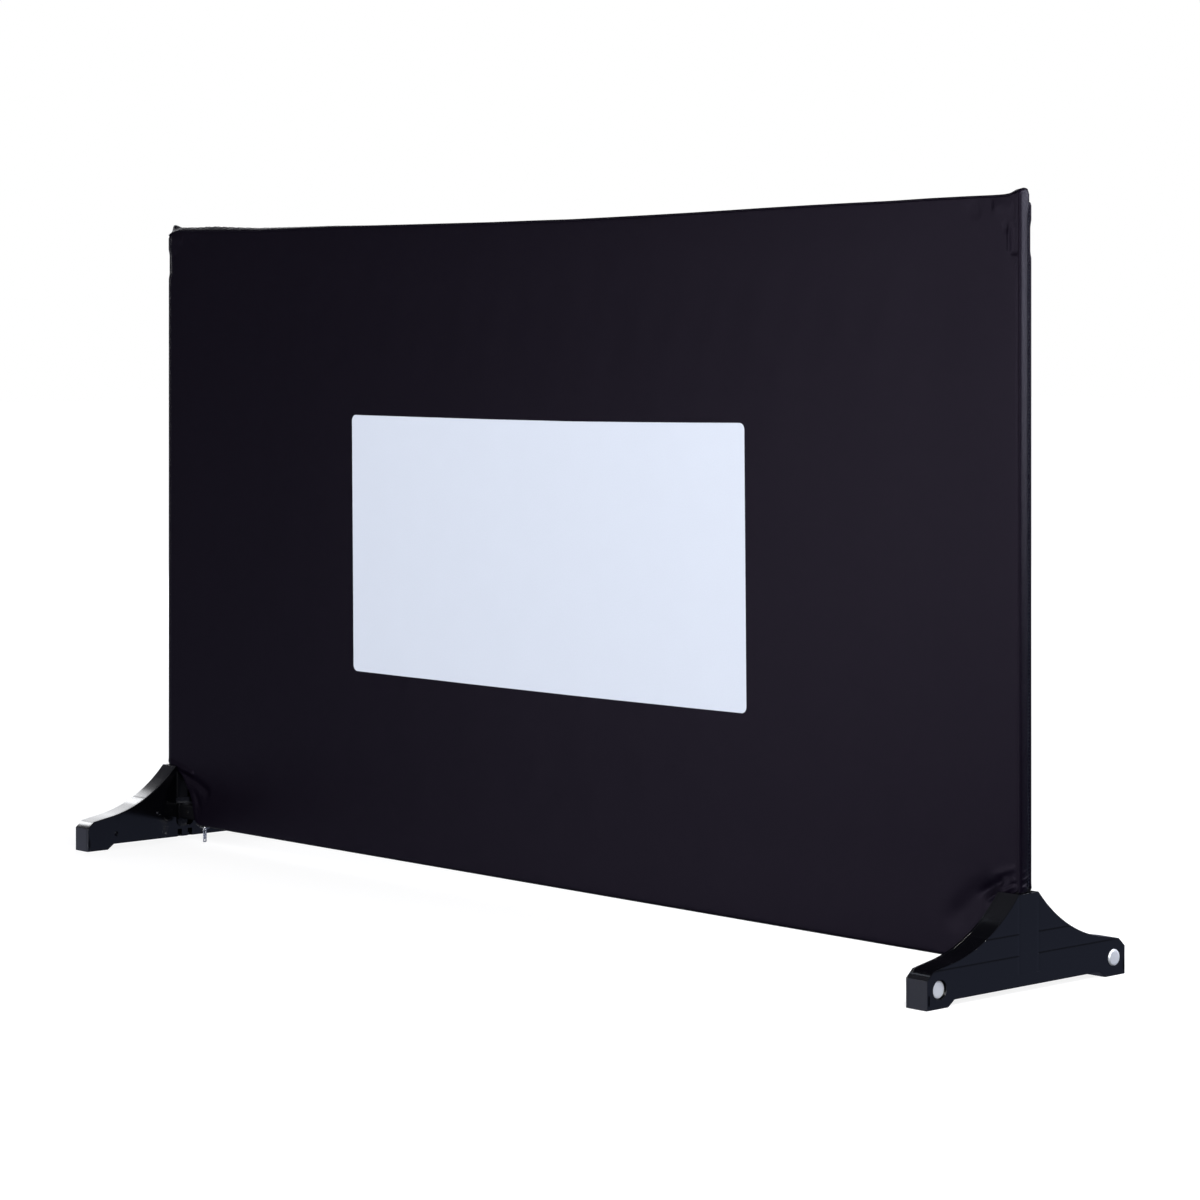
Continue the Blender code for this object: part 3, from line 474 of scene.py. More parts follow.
def back_top_z(x):
    """The back panel's top edge: it is drawn up at the other corner, as the sleeve is sewn the same both ways."""
    corner = ease(0.668, 0.697, np.abs(x))
    return top_z(x) * (1 - corner) + top_z(-x) * corner + strip_step(x)


def crease(x, z, line, width, height, fade=0.35):
    """A fold along a line in millimetres: a ridge where height is positive, a valley where it is negative."""
    line, width, height = metres(line), metres(width), metres(height)
    best = np.full(np.shape(x), 1e9)
    share = np.zeros(np.shape(x))
    lengths = np.linalg.norm(np.diff(line, axis=0), axis=1)
    done = np.concatenate([[0], np.cumsum(lengths)])
    for k, (a, b) in enumerate(zip(line, line[1:])):
        step = b - a
        along = np.clip(((x - a[0]) * step[0] + (z - a[1]) * step[1]) / lengths[k] ** 2, 0, 1)
        off = np.hypot(x - a[0] - along * step[0], z - a[1] - along * step[1])
        closer = off < best
        best = np.where(closer, off, best)
        share = np.where(closer, (done[k] + along * lengths[k]) / done[-1], share)
    ends = ease(0, fade, share) * ease(1, 1 - fade * 0.4, share) if fade else 1.0
    return height * np.exp(-(best / width) ** 2) * ends


def blurred(values, times):
    """Values round a loop, each drawn towards its neighbours."""
    for _ in range(times):
        values = (np.roll(values, 1, axis=0) + 2 * values + np.roll(values, -1, axis=0)) / 4
    return values


def panel_outline(ends, top_of, insets, edges, corners):
    """The panel's silhouette, anticlockwise from the front (x, z), with each point's fold radius and run round."""
    hem = drawn(HEM_LINE, 90)
    right_low = hem[hem[:, 0] < ends[1] - 0.0003][::-1]
    left_low = hem[hem[:, 0] < ends[0] - 0.0003] * (-1, 1)
    bottom = np.column_stack([np.linspace(-0.622, 0.622, 260), np.full(260, BOTTOM_Z)])
    up = np.linspace(SIDE_END_Z, top_of(ends[1]) - corners[1], 200)
    down = np.linspace(top_of(-ends[0]) - corners[0], SIDE_END_Z, 200)
    inner = np.linspace(ends[1] - insets[1](0.75) - corners[1],
                        corners[0] + insets[0](0.75) - ends[0], 560)
    turn = np.radians(np.arange(10, 90, 10))
    right = (ends[1] - insets[1](up[-1]), up[-1]), (inner[0], top_of(inner[0]))
    left = (insets[0](down[0]) - ends[0], down[0]), (inner[-1], top_of(inner[-1]))
    right_turn, left_turn = (np.column_stack([
        top[0] + (side[0] - top[0]) * np.cos(turn), side[1] + (top[1] - side[1]) * np.sin(turn)])
        for side, top in (right, left))
    parts = [(bottom, HEM), (right_low, HEM),
             (np.column_stack([ends[1] - insets[1](up), up]), edges[2]), (right_turn, edges[2]),
             (np.column_stack([inner, top_of(inner)]), edges[1]), (left_turn[::-1], edges[0]),
             (np.column_stack([insets[0](down) - ends[0], down]), edges[0]), (left_low, HEM)]
    loop = np.concatenate([part for part, _ in parts])
    roll, run_on = (np.concatenate([np.full(len(part), edge[k]) for part, edge in parts]) for k in (0, 1))
    low = loop[:, 1] < HEM_END_Z
    roll[low] = np.interp(loop[low, 1], *HEM_ROLL.T)
    return loop, blurred(roll, 3), blurred(run_on, 3)


def flat_path(radius, level, tuck):
    """Across a folded edge: rows of (out from the core line, depth behind the face, length along the cloth)."""
    angles = np.linspace(0, math.pi / 2, 7)
    rows = [(radius * math.sin(a), radius * (1 - math.cos(a)), radius * a) for a in angles]
    run = radius * math.pi / 2
    if level:
        for share in (0.2, 0.4, 0.6, 0.8, 1.0):
            rows.append((radius - LAID * share, radius + level * share, run + level * share))
        run += level
    out, depth, _ = rows[-1]
    for angle in (0.6, 1.2):
        rows.append((out - TUCK * (1 - math.cos(angle)), depth + TUCK * math.sin(angle), run + TUCK * angle))
    out, depth, run = rows[-1]
    rows.append((out - tuck, depth + tuck * 0.2, run + tuck))
    return rows


def folds_front(x, z):
    """Height of the folds and pressed marks, outwards from the face, in metres."""
    up = np.zeros_like(x)
    across = np.abs(x)
    for fold in HEM_FOLDS:
        up += crease(x, z, *fold)
    deep = ease(0.7035, 0.7065, z) * ease(0.7365, 0.7305, z)
    up -= 0.0006 * deep * ease(0.6825, 0.6925, across)
    up -= 0.00030 * deep * ease(0.6828, 0.6842, across)
    for side, *fold in PRESSED:
        up += crease(side * x if side else across, z, *fold)
    # the seam's allowance, folded back under the edge, stands as a low ridge beside it
    up += crease(x, z, ((692.9, 100), (692.9, 762)), 1, 0.3, 0.02)
    # drawn a little between the rails and in from the tubes
    sag = ease(0.700, 0.560, across) * ease(BOTTOM_Z, 0.120, z) * ease(0.760, 0.640, z)
    up -= 0.0012 * sag
    for k, (phase, slope, run) in enumerate(((0.4, 0.22, 21.0), (1.9, -0.35, 34.0), (4.1, 0.08, 13.0))):
        wave = np.sin(run * (x + slope * z) * math.pi + phase)
        up += 0.00009 * wave * sag * (0.6 + 0.4 * np.sin(9 * z + k))
    # but it can't go into the tubes, which it lies on
    on_upright = ease(0.6735, 0.6770, across)
    on_rail = np.maximum(ease(0.7340, 0.7370, z), ease(0.0490, 0.0460, z) * ease(0.650, 0.640, across))
    on_tube = np.maximum(on_upright, on_rail) * (1 - deep)
    up = np.where(up < -PAD, up * (1 - on_tube) - PAD * on_tube, up)
    # at the left the edge lies round the tube's corner
    return up - 0.0008 * np.clip((-0.6863 - x) / 0.0070, 0, 1) ** 2


def spread_points(loop):
    """Points inside an outline: close together where there are folds, and wide apart on the flat."""
    low, high = loop.min(0), loop.max(0)

    def lattice(step):
        xs, zs = np.arange(low[0], high[0], step), np.arange(low[1], high[1], step * 0.866)
        gx, gz = np.meshgrid(xs, zs)
        gx = gx + (np.arange(len(zs)) % 2)[:, None] * step / 2
        return np.column_stack([gx.ravel(), gz.ravel()])

    def corner(p, reach):
        x, z = np.abs(p[:, 0]), p[:, 1]
        return (x > 0.590 - reach) & (z < 0.128 + reach) | (x > 0.628 - reach) & (z > 0.696 - reach)

    def rim(p, reach):
        x, z = np.abs(p[:, 0]), p[:, 1]
        return (x > END_X - reach) | (z < BOTTOM_Z + reach) | (z > 0.755 - reach)

    coarse, middle, fine = lattice(0.012), lattice(0.005), lattice(0.0021)
    points = np.concatenate([
        fine[corner(fine, 0.0)],
        middle[~corner(middle, 0.0) & (corner(middle, 0.030) | rim(middle, 0.022))],
        coarse[~corner(coarse, 0.030) & ~rim(coarse, 0.022)]])
    # keep what is inside, and a little away from the line itself
    inside = np.zeros(len(points), bool)
    after = np.roll(loop, -1, axis=0)
    near = np.full(len(points), 1e9)
    for a, b in zip(loop, after):
        crosses = (a[1] > points[:, 1]) != (b[1] > points[:, 1])
        if crosses.any():
            at = a[0] + (points[crosses, 1] - a[1]) / (b[1] - a[1]) * (b[0] - a[0])
            inside[crosses] ^= points[crosses, 0] < at
        near = np.minimum(near, np.hypot(points[:, 0] - a[0], points[:, 1] - a[1]))
    return points[inside & (near > 0.0011)]


def cut_out(ends, top_of, insets, edges, corners):
    """One panel's outline with its folds and normals, and the flat cloth inside it as triangles."""
    loop, roll, run_on = panel_outline(ends, top_of, insets, edges, corners)
    ahead = np.roll(loop, -1, axis=0) - np.roll(loop, 1, axis=0)
    normals = np.column_stack([ahead[:, 1], -ahead[:, 0]])
    normals = blurred(normals / np.linalg.norm(normals, axis=1)[:, None], 4)
    normals /= np.linalg.norm(normals, axis=1)[:, None]
    core = loop - normals * roll[:, None]
    count = len(core)
    points = np.concatenate([core, spread_points(core)])
    rim = [(k, (k + 1) % count) for k in range(count)]
    verts, _, faces, origins, *_ = delaunay_2d_cdt([Vector(p) for p in points], rim, [], 1, 1e-7)
    of_core = {source: k for k, sources in enumerate(origins) for source in sources if source < count}
    return loop, roll, run_on, normals, core, np.array([tuple(v) for v in verts]), faces, of_core


def cloth_v(x, z):
    """Height up the flat cut cloth, which is drawn down towards the middle of the panel."""
    return (z - BOTTOM_Z) / (top_z(x) - BOTTOM_Z) * FLAT_HEIGHT


def thickened(made, thickness):
    """Cloth of some thickness, which lies behind the face that shows."""
    thick = made.modifiers.new("cloth_thickness", "SOLIDIFY")
    thick.thickness, thick.offset = thickness, -1.0
    return made


def cut_map(shape, places):
    """A UV map of the flat cut cloth: places says where each vertex lies on it."""
    layer = shape.loops.layers.uv.new("cut")
    for face in shape.faces:
        for corner in face.loops:
            corner[layer].uv = places[corner.vert]


def panel(name, hand, cut, folds, finish, node_name):
    """One face of the sleeve: hand is -1 for the front and 1 for the back."""
    loop, roll, run_on, normals, core, flat, flat_faces, of_core = cut
    count = len(core)
    shape = bmesh.new()
    places = {}

    def point(x, z, depth, height, u, v):
        made = shape.verts.new((x, hand * FACE_Y - hand * depth + hand * height, z))
        places[made] = (u, v)
        return made

    v_of = cloth_v(flat[:, 0], flat[:, 1])
    verts = [point(x, z, 0.0, h, x, v) for (x, z), h, v in zip(flat, folds(flat[:, 0], flat[:, 1]), v_of)]
    for face in flat_faces:
        corners = [verts[k] for k in face]
        if len(set(corners)) == 3:
            shape.faces.new(corners if hand < 0 else corners[::-1])
    previous = [verts[of_core[k]] for k in range(count)]
    rows = [flat_path(roll[k], run_on[k], SEAM_TURN if loop[k, 1] > HEM_END_Z else HEM_TURN) for k in range(count)]
    base_height = folds(core[:, 0], core[:, 1])
    for j in range(1, max(len(r) for r in rows)):
        ring = []
        for k in range(count):
            out, depth, run = rows[k][min(j, len(rows[k]) - 1)]
            if j >= len(rows[k]):
                depth += 0.0001 * (j - len(rows[k]) + 1)
            at = core[k] + normals[k] * out
            keep = base_height[k] * max(0.0, 1 - depth / FOLD_DEPTH)
            flat_at = core[k] + normals[k] * run
            ring.append(point(at[0], at[1], depth, keep, flat_at[0], cloth_v(*flat_at)))
        for k in range(count):
            after = (k + 1) % count
            corners = [previous[k], previous[after], ring[after], ring[k]]
            shape.faces.new(corners if hand > 0 else corners[::-1])
        previous = ring
    cut_map(shape, places)
    bmesh.ops.recalc_face_normals(shape, faces=shape.faces)
    made = thickened(piece(name, shape, finish, "frame", node_name), CLOTH)


# The jersey: fine knit with a dull satin face, black dyed with a violet cast.
JERSEY = (0.0018, 0.0010, 0.0032)
PRINT = (0.67, 0.72, 0.81)
PRINT_HALF = (0.3255, 0.1510)
PRINT_MIDDLE = (0.0, 0.3655)
PRINT_CORNER = 0.007
PRINT_LEAN = 0.011
PRINT_BLUR = 0.0002

knit, taken, given = group("knit", "Shader", {"Vector": "Vector", "Wale": 0.0009, "Course": 0.0007},
                           ("Height", "Shade"))
split = node(knit, "SeparateXYZ", {0: taken["Vector"]})
wale = (split["X"] / taken["Wale"]).then("FRACT")
slanted = split["Y"] / taken["Course"] + abs(wale - 0.5) * 1.4
stitch = (slanted * (2 * math.pi)).then("SINE") * 0.35 + (wale * math.pi).then("SINE")
fuzz = node(knit, "TexNoise", {"Vector": taken["Vector"], "Scale": 620.0, "Detail": 3.0, "Roughness": 0.65})
broad = node(knit, "TexNoise", {"Vector": taken["Vector"], "Scale": 26.0, "Detail": 4.0})
feed(given, {"Height": stitch + fuzz * 0.8, "Shade": fuzz * 0.75 + broad * 0.25})


def jersey(name, printed):
    """The knit as a finish, plain or with the pale print, which sits on it with a slightly ragged edge."""
    made, tree, shader = surface(name, Specular_IOR_Level=0.085, Specular_Tint=(0.80, 0.68, 1.0))
    cut = node(tree, "UVMap", uv_map="cut")
    effect = node(tree, "Group", {"Vector": cut}, node_tree=knit)
    shade = effect["Shade"]

    def speckled(colour, dark, light):
        return mixed(shade, *(tuple(share * c for c in colour) for share in (dark, light)))

    colour = speckled(JERSEY, 0.55, 1.55)
    rough = shade * 0.10 + 0.33
    if printed:
        split = node(tree, "SeparateXYZ", {0: cut})
        leaned = split["X"] + (split["Y"] - PRINT_MIDDLE[1]) * PRINT_LEAN
        over = [(abs(value - middle) - (half - PRINT_CORNER)).then("MAXIMUM", 0.0) ** 2.0
                for value, middle, half in zip((leaned, split["Y"]), PRINT_MIDDLE, PRINT_HALF)]
        ragged = (over[0] + over[1]).then("SQRT") + (shade - 0.5) * 0.0004
        mask = node(tree, "MapRange", {
            "Value": ragged, "From Min": PRINT_CORNER - PRINT_BLUR, "From Max": PRINT_CORNER + PRINT_BLUR,
            "To Min": 1.0, "To Max": 0.0})
        colour = mixed(mask, colour, speckled(PRINT, 0.93, 1.04))
        rough = rough + mask * 0.12
    feed(shader, {"Base Color": colour, "Roughness": rough})
    relief(shader, effect["Height"], 0.00008, 0.5)
    return made


black_jersey = jersey("black_jersey", False)


def folds_back(x, z):
    """The back's folds and marks: the front's turned round, a little lower."""
    return folds_front(-x, z) * 0.9


def in_at_neck(z):
    """How far a rounded edge keeps in where the corner fitting has its neck."""
    return 0.0002 + 0.0010 * ease(0.7020, 0.7060, z) * ease(0.7370, 0.7330, z)


front_cut = cut_out((ROUND_END_X, SEWN_END_X), top_z, (in_at_neck, np.zeros_like), (ROUND, SEWN, SEWN),
                    (0.0034, 0.0015))
back_cut = cut_out((SEWN_END_X, ROUND_END_X), back_top_z, (np.zeros_like, in_at_neck), (SEWN, ROUND, ROUND),
                   (0.0020, 0.0034))
panel("sleeve_front", -1, front_cut, folds_front, jersey("printed_jersey", True), "cover_front")
panel("sleeve_back", 1, back_cut, folds_back, black_jersey, "cover_back")


# ------------
# Side strips: narrow bands of the same jersey. Each comes round one corner of the frame beside a
# panel's edge, and falls away to the overlocked seam along its middle. The left one is the right
# one turned half round, as the sleeve is sewn the same both ways.
STRIP_PROFILE = metres(((-9.2, -1.7), (-9.8, -1.2), (-10.1, -0.6), (-10.1, 0.1), (-9.9, 0.5), (-9.4, 0.8),
    (-8.4, 0.8), (-6.8, 0.7), (-5, 0.5), (-3.6, 0.3), (-2.6, 0.1), (-1.8, -0.1), (-1, -0.3), (-0.2, -0.5),
    (0.7, -0.7), (1.6, -0.9), (1.9, -2.4)))     # across the strip: (y, out from the side face)
EARS = {"right": metres(((-10, 765.5), (-7.2, 767.2), (-2.4, 768.2), (1, 768.4), (3.6, 767.2), (4.6, 764),
        (5.2, 757.5), (5.6, 753))),
        "left": metres(((-10, 765.5), (-7.2, 767.2), (-2.4, 768.4), (0.2, 768.6), (1, 767.6), (1.4, 761),
        (1.8, 757.5), (6, 755.4), (10, 754)))}     # the edge over each corner: (y, z)
STRIP_FOLDS = {
    "right": (
        (((-8.2, 106), (0, 108.5), (3, 110)), 1.3, 0.9),
        (((-7, 113), (1, 116)), 1.2, 0.6),
        (((-8, 102.5), (2, 105)), 1.2, -0.6),
        (((-8, 99), (0, 100.5)), 1.4, 0.8)),
    "left": (
        (((-8, 101), (2, 106)), 1.6, 0.8),
        (((-8, 109), (2, 112)), 1.4, 0.5))
}
SHOULDER_Z = 0.7440          # from here up the strip is drawn out into its ear


def back_at_ear(y, share):
    """The sewn corner reaches further back than the strips do elsewhere."""
    return y + 0.0034 * share * min(1.0, max(0.0, (y + 0.0024) / 0.0043))


def sheet_piece(name, grid, finish, node_name, outwards, thickness=CLOTH * 0.85):
    """A cloth piece from a grid of (point, its place on the cut cloth); its face looks outwards."""
    rows, columns = len(grid), len(grid[0])
    shape = bmesh.new()
    verts = [[shape.verts.new(point) for point, _ in row] for row in grid]
    for i in range(rows - 1):
        for j in range(columns - 1):
            shape.faces.new((verts[i][j], verts[i][j + 1], verts[i + 1][j + 1], verts[i + 1][j]))
    shape.normal_update()
    if shape.faces[:][len(shape.faces) // 2].normal.dot(Vector(outwards)) < 0:
        bmesh.ops.reverse_faces(shape, faces=shape.faces)
    cut_map(shape, {verts[i][j]: grid[i][j][1] for i in range(rows) for j in range(columns)})
    return thickened(piece(name, shape, finish, "frame", node_name), thickness)


def side_strip(side, hand):
    """A strip in rows from the hem up to the shoulder, then drawn out to the ear's edge."""
    rows = [(z, 0.0) for z in [*np.linspace(0.0949, 0.125, 26), *np.linspace(0.130, SHOULDER_Z, 80)]]
    rows += [(SHOULDER_Z, share) for share in np.linspace(0, 1, 22)[1:]]
    grid = []
    for z, share in rows:
        row = []
        for y, out in STRIP_PROFILE:
            y_here = back_at_ear(y, math.sqrt(share)) if hand > 0 else y
            here = z + (np.interp(y_here, *EARS[side].T) - SHOULDER_Z) * share
            x = END_X + out - 0.0002 * share - 0.0026 * (max(0.0, share - 0.88) / 0.12) ** 2
            fold = sum(crease(y, z, *line, 0.2) for line in STRIP_FOLDS[side])
            ripple = 0.00006 * math.sin(z * 610 + y * 240) * math.sin(z * 87)
            ruck = 0.00022 * math.sin(here * 1300 + y * 900) * math.sin(share * math.pi) ** 2
            row.append(((hand * (x + fold + ripple + ruck), hand * y_here, here), (y, here)))
        grid.append(row)
    made = sheet_piece("sleeve_side_" + side, grid, black_jersey, "cover_side_" + side, (hand, 0, 0))


for side, hand in SIDES:
    side_strip(side, hand)


# ------------
# Top strip: the same band along the top rail. It is cut a little full, so it stands up off the
# rail near the left corner and puckers on the slant, and it rises into both sewn corners.
CROWN = metres(((-697, 12.8), (-694.1, 12.3), (-686, 7), (-678.1, 3.2), (-667.5, 3.4), (-648, 3.4), (-607, 4.4),
    (-585, 4), (-525, 2.8), (-445, 1.8), (-368, 1.1), (-292, 0.4), (-200, 0), (655, 0), (676.4, 0.3),
    (681.6, 0.9), (686.8, 1.8), (691, 2.4), (695, 2.1), (697, 1.2)))     # how far it stands up: (x, z)
LEFT_RIDGE = metres(((-695.5, 768.4), (-692.5, 768.2), (-678, 764.2)))     # the left corner's ridge
ACROSS_FOLD = (0.676, 0.737)           # the way across the left corner's slanting fold, (x, y)
FOLD_FROM, FOLD_TO = -0.4735, -0.4702


def top_strip():
    """The strip in rows across the rail, with a sewn corner at each end."""
    xs = np.concatenate([np.linspace(-0.6955, -0.672, 60), np.linspace(-0.671, -0.440, 210),
                         np.linspace(-0.437, 0.600, 180)[1:], np.linspace(0.602, 0.6955, 70)])
    grid = []
    for x in xs:
        step = strip_step(x)
        front, back = top_z(x) + step, back_top_z(x)
        bead = step / FULL_STEP
        crown = np.interp(x, *CROWN.T)
        at_point = ease(-0.672, -0.680, x)
        at_ear = ease(0.684, 0.6950, abs(x))
        left_ridge = np.interp(x, *LEFT_RIDGE.T)
        bow = crown * ease(0.694, 0.676, abs(x))
        ridge = front + crown
        row = []
        for y, out in STRIP_PROFILE:
            share = (y + 0.0098) / (SEAM_BACK_Y + 0.0098)
            to_front = max(0.0, 1 - share / 0.55) ** 2.2
            to_back = max(0.0, (share - 0.55) / 0.45) ** 2.2
            slant = math.sin((x - y * 2.6) * 2 * math.pi / 0.0165 + 0.9 * math.sin(x * 130))
            small = math.sin((x - y * 3.1) * 2 * math.pi / 0.0093 + 2.0)
            arch = 1 - to_front - to_back
            wave = bow * (0.13 * slant + 0.04 * small) * (1 - to_back) * min(1.0, share * 6)
            lip = min(out, out * bead)
            z = ridge - (ridge - front) * to_front - (ridge - back) * to_back + lip
            z += wave * max(arch, 0.35)
            if x < 0:
                # this corner's point starts on a slanting fold, from the front edge back to the side seam
                before = front + lip + 0.12 * (left_ridge - front) * share
                over = ACROSS_FOLD[0] * x + ACROSS_FOLD[1] * y
                on = ease(FOLD_FROM, FOLD_TO, over) * ease(-0.0112, 0.0006, y)
                z = (before + (left_ridge - before) * on) * at_point + z * (1 - at_point)
                # the strip's end keeps inside the panel's rounded corner
                reach = 0.0019 + math.sqrt(ROUND[0] ** 2 - min(0.0, y + FACE_Y - ROUND[0]) ** 2)
                point = (max(x, -0.690 + (x + 0.690) * reach / 0.0055), y, z)
            else:
                y_here = back_at_ear(y, at_ear)
                ear = np.interp(y_here, *EARS["right"].T) - 0.0005
                point = (x, y_here, z * (1 - at_ear) + ear * at_ear)
            row.append((point, (y, x)))
        grid.append(row)
    made = sheet_piece("sleeve_top", grid, black_jersey, "cover_top", (0, 0, 1))


top_strip()


# ------------
# Overlock stitching: thread loops that bind the back seam, where the back panel meets the side
# and top strips. The thread is polyester with a slight shine.
STITCH_Y = 0.0030

thread, tree, shader = surface("black_thread", Base_Color=(0.010, 0.014, 0.026), Roughness=0.50,
                               Specular_IOR_Level=0.2)
twist = node(tree, "TexWave", {"Vector": node(tree, "TexCoord")["Object"], "Scale": 900.0, "Distortion": 1.0},
             bands_direction="DIAGONAL")
relief(shader, twist["Fac"], 0.00005)

stitches, taken, given = group("stitch_run", "Geometry", {
    **POINTS, "Pitch": 0.0017, "Length": 0.0036, "Thread": 0.00016, "Slant": 0.9})
spaced = node(stitches, "ResampleCurve", {
    "Curve": node(stitches, "MeshToCurve", {"Mesh": taken["Geometry"]}),
    "Length": taken["Pitch"]}, mode="LENGTH")
bar = node(stitches, "MeshCylinder", {
    "Vertices": 6, "Side Segments": 3, "Radius": taken["Thread"], "Depth": taken["Length"]},
    fill_type="TRIANGLE_FAN")
spot = node(stitches, "SeparateXYZ", {0: node(stitches, "InputPosition")})
droop = (spot["Z"] / taken["Length"]) ** 2.0 * (taken["Thread"] * -4.0)
arched = node(stitches, "SetPosition", {
    "Geometry": bar, "Offset": node(stitches, "CombineXYZ", {"X": droop})})
outward, across = (node(stitches, "InputNamedAttribute", {"Name": label},
                        data_type="FLOAT_VECTOR")["Attribute"] for label in ("outward", "across"))
facing = node(stitches, "AxesToRotation", {"Primary Axis": across, "Secondary Axis": outward},
              primary_axis="Z", secondary_axis="X")
lean = (node(stitches, "InputIndex") % 2.0 - 0.5) * taken["Slant"]
leaned = node(stitches, "RotateRotation", {
    "Rotation": facing, "Rotate By": node(stitches, "AxisAngleToRotation", {
        "Axis": (1.0, 0.0, 0.0), "Angle": lean})}, rotation_space="LOCAL")
set_out(taken, given, spaced, arched, leaned)


def seam_stitches(name, path, outward):
    """Stitches along a path of points, across the seam; outward is the cloth's normal."""
    made = grown(name, path, stitches, {"Finish": thread}, [(k, k + 1) for k in range(len(path) - 1)],
                 (("outward", outward), ("across", (0, 1, 0))))
    dress(made, thread, "frame")


for side, hand in SIDES:
    path = [(hand * (END_X - in_at_neck(z)), hand * STITCH_Y, z) for z in np.linspace(SIDE_END_Z, 0.7530, 160)]
    seam_stitches("side_stitches_" + side, path, (hand, 0, 0))
xs = np.linspace(0.004 - END_X, END_X - 0.004, 240)
seam_stitches("top_stitches", [(x, STITCH_Y, back_top_z(x) - 0.0002) for x in xs], (0, 0, 1))


# ------------
# The zip under the bottom rail: woven tapes sewn under the hems, two rows of nylon coil, crimped
# metal stops, and a silver slider with a hanging pull.
ZIP_HALF = 0.640
ZIP_ACROSS = metres(((7.4, 24.7), (6.2, 24), (5.4, 23), (4.2, 22.9), (3.3, 22.9)))     # the tape: (y, z)

tape_cloth, tree, shader = surface("woven_tape", Base_Color=(0.010, 0.010, 0.011), Roughness=0.75,
                                   Sheen_Weight=0.05)
place = node(tree, "SeparateXYZ", {0: node(tree, "TexCoord")["Object"]})
twill = ((place["X"] + place["Y"].then("PINGPONG", 0.0012)) * 9000.0).then("SINE")
weft = (place["Y"] * 12000.0).then("SINE")
relief(shader, twill + weft * 0.5, 0.00006)


def zip_tape(name, hand):
    """A tape from under the hem's turned edge down to its row of coil."""
    xs = np.linspace(-ZIP_HALF, ZIP_HALF, 220)
    grid = [[((x, hand * y, z + 0.00008 * math.sin(x * 420 + y * 900)), (x, y)) for y, z in ZIP_ACROSS] for x in xs]
    made = sheet_piece("tape_" + name, grid, tape_cloth, "zip_tape_" + name, (0, 0, -1), 0.0005)


zip_tape("front", -1)
zip_tape("back", 1)

nylon = skinned("black_nylon", (0.012, 0.012, 0.013), roughness=0.42, grain=2200)

coils, taken, given = group("coil_row", "Geometry", {
    **POINTS, "Pitch": 0.0015, "Row length": 2 * ZIP_HALF, "Wire": 0.00036, "Radius": 0.00074})
length = taken["Row length"]
helix = node(coils, "CurveSpiral", {
    "Resolution": 8, "Rotations": length / taken["Pitch"], "Start Radius": taken["Radius"],
    "End Radius": taken["Radius"], "Height": length})
wire = node(coils, "CurvePrimitiveCircle", {"Resolution": 4, "Radius": taken["Wire"]})
tube = node(coils, "CurveToMesh", {"Curve": helix, "Profile Curve": wire, "Fill Caps": True})
laid = node(coils, "Transform", {"Geometry": tube, "Rotation": (0.0, math.pi / 2, 0.0)})
half_back = node(coils, "CombineXYZ", {"X": length * -0.5})
set_out(taken, given, taken["Geometry"], node(coils, "Transform", {"Geometry": laid, "Translation": half_back}))

for name, hand in (("front", -1), ("back", 1)):
    middle = (0.0, *seat("zip_teeth_" + name, hand)[1:])
    made = grown("coil_" + name, [middle], coils, {"Finish": nylon})
    dress(made, nylon, "frame", ("zip_teeth_" + name,))

silver = skinned("silver_plate", ((0.80, 0.80, 0.79), (0.95, 0.95, 0.94)), roughness=0.28, grain=1500,
                 spread=0.14, Metallic=1.0)
softened("zip_slider", 0.00025, silver, "zip_slider", "slider")
softened("zip_pull", 0.00018, silver, "zip_pull", "pull_tab")
for side in ("left", "right"):
    softened("zip_stop_" + side, 0.0003, silver, "frame", "stop_" + side)


# ------------
# The stage: a white floor, soft boxes at the left and the left rear, in front, at the right, over
# the right foot and behind it, and the camera, which stands level to the right of the front.
BELOW_BEHIND = (0.122, 0.138, 0.215)      # what the room sends back from the floor and from above it
BELOW_BEFORE = (0.40, 0.42, 0.55)
UNDERNEATH = (0.02, 0.02, 0.03)
ABOVE_BEHIND = (0.06, 0.065, 0.09)
ABOVE_BEFORE = (0.10, 0.10, 0.12)
WHITE = (1, 1, 1)
COOL = (0.97, 0.98, 1.0)
BOXES = (     # name, place, what it points at, size, power, colour
    ("left_box", (-4.90, 0.75, 1.50), (-0.69, -0.05, 0.60), (1.2, 2.4), 33, COOL),
    ("left_rear_box", (-4.60, 2.60, 1.90), (-0.69, -0.05, 0.05), (4.2, 3.0), 105, COOL),
    ("front_box", (-0.9, -2.8, 0.35), (0.5, 0.0, 0.4), (1.2, 1.2), 62, WHITE),
    ("right_box", (2.3, -1.7, 1.4), (0.2, 0.0, 0.4), (1.2, 1.2), 78, WHITE),
    ("edge_box", (1.35, 0.30, 1.30), (0.70, 0.0, 0.05), (0.22, 0.22), 11, WHITE),
    ("rear_box", (1.28, 1.05, 0.88), (0.7, 0.0, 0.6), (0.5, 1.0), 17, (0.86, 0.88, 1.0)))

scene = bpy.context.scene
scene.view_settings.view_transform = "Standard"


def on_stage(name, data, place=(0, 0, 0), turn=(0, 0, 0)):
    """An object put in the scene at a place."""
    made = bpy.data.objects.new(name, data)
    made.location, made.rotation_euler = place, turn
    scene.collection.objects.link(made)
    return made


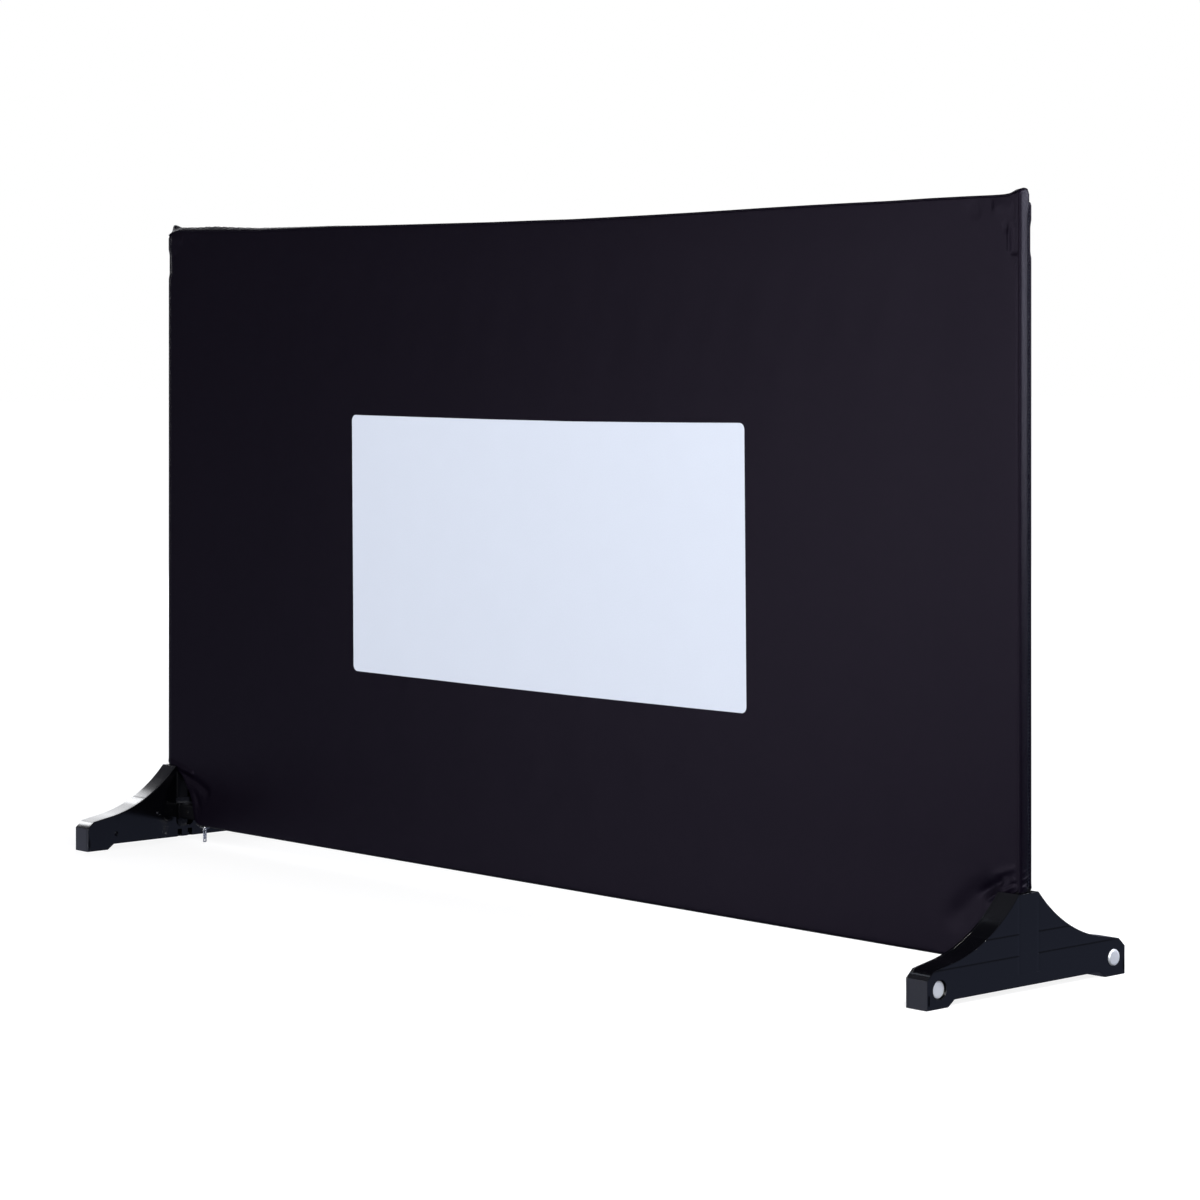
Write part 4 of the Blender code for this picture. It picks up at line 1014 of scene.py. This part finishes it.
def smooth(value, start, stop, low=0.0, high=1.0):
    """Low before start, high after stop, smooth between them."""
    return node(value.node.id_data, "MapRange", {
        "Value": value, "From Min": start, "From Max": stop, "To Min": low, "To Max": high},
        interpolation_type="SMOOTHSTEP")


scene.world = bpy.data.worlds.new("studio")
scene.world.use_nodes = True
tree = scene.world.node_tree
tree.nodes.clear()
way = node(tree, "TexCoord")["Generated"]
height = node(tree, "SeparateXYZ", {0: way})["Z"]
forward = smooth(node(tree, "VectorMath", {0: way, 1: (-0.72, -0.69, 0.0)},
                      operation="DOT_PRODUCT")["Value"], -0.6, 0.6)
below = mixed(smooth(height, -0.30, -0.55), mixed(forward, BELOW_BEHIND, BELOW_BEFORE), UNDERNEATH)
around = mixed(smooth(height, -0.14, -0.09), below, mixed(forward, ABOVE_BEHIND, ABOVE_BEFORE))
node(tree, "OutputWorld", {"Surface": node(tree, "MixShader", {
    0: node(tree, "LightPath")["Is Camera Ray"], 1: node(tree, "Background", {"Color": around}),
    2: node(tree, "Background", {"Color": WHITE})})})

shape = bmesh.new()
bmesh.ops.create_grid(shape, x_segments=1, y_segments=1, size=30)
mesh = bpy.data.meshes.new("floor")
shape.to_mesh(mesh)
shape.free()
paper, tree, shader = surface("white_floor", Base_Color=(0.30, 0.30, 0.30), Roughness=1.0, Emission_Color=WHITE,
                              Specular_IOR_Level=0.0)
away = node(tree, "VectorMath", {0: node(tree, "TexCoord")["Object"]}, operation="LENGTH")["Value"]
feed(shader, {"Emission Strength": smooth(away, 0.8, 3.0, 0.84, 1.0)})
mesh.materials.append(paper)
floor = on_stage("floor", mesh)
floor.visible_glossy = floor.visible_diffuse = False

for name, place, target, size, power, colour in BOXES:
    lamp = bpy.data.lights.new(name, "AREA")
    lamp.shape = "RECTANGLE"
    lamp.size, lamp.size_y = size
    lamp.energy, lamp.color = power, colour
    on_stage(name, lamp, place, (Vector(target) - Vector(place)).to_track_quat("-Z", "Y").to_euler())

lens = bpy.data.cameras.new("camera")
lens.sensor_width, lens.lens, lens.shift_y, lens.clip_start = 36.0, 103.67, -0.2108, 0.05
scene.camera = on_stage("camera", lens, (2.85618, -2.53323, 0.61626), (math.radians(90), 0, math.radians(47.48)))
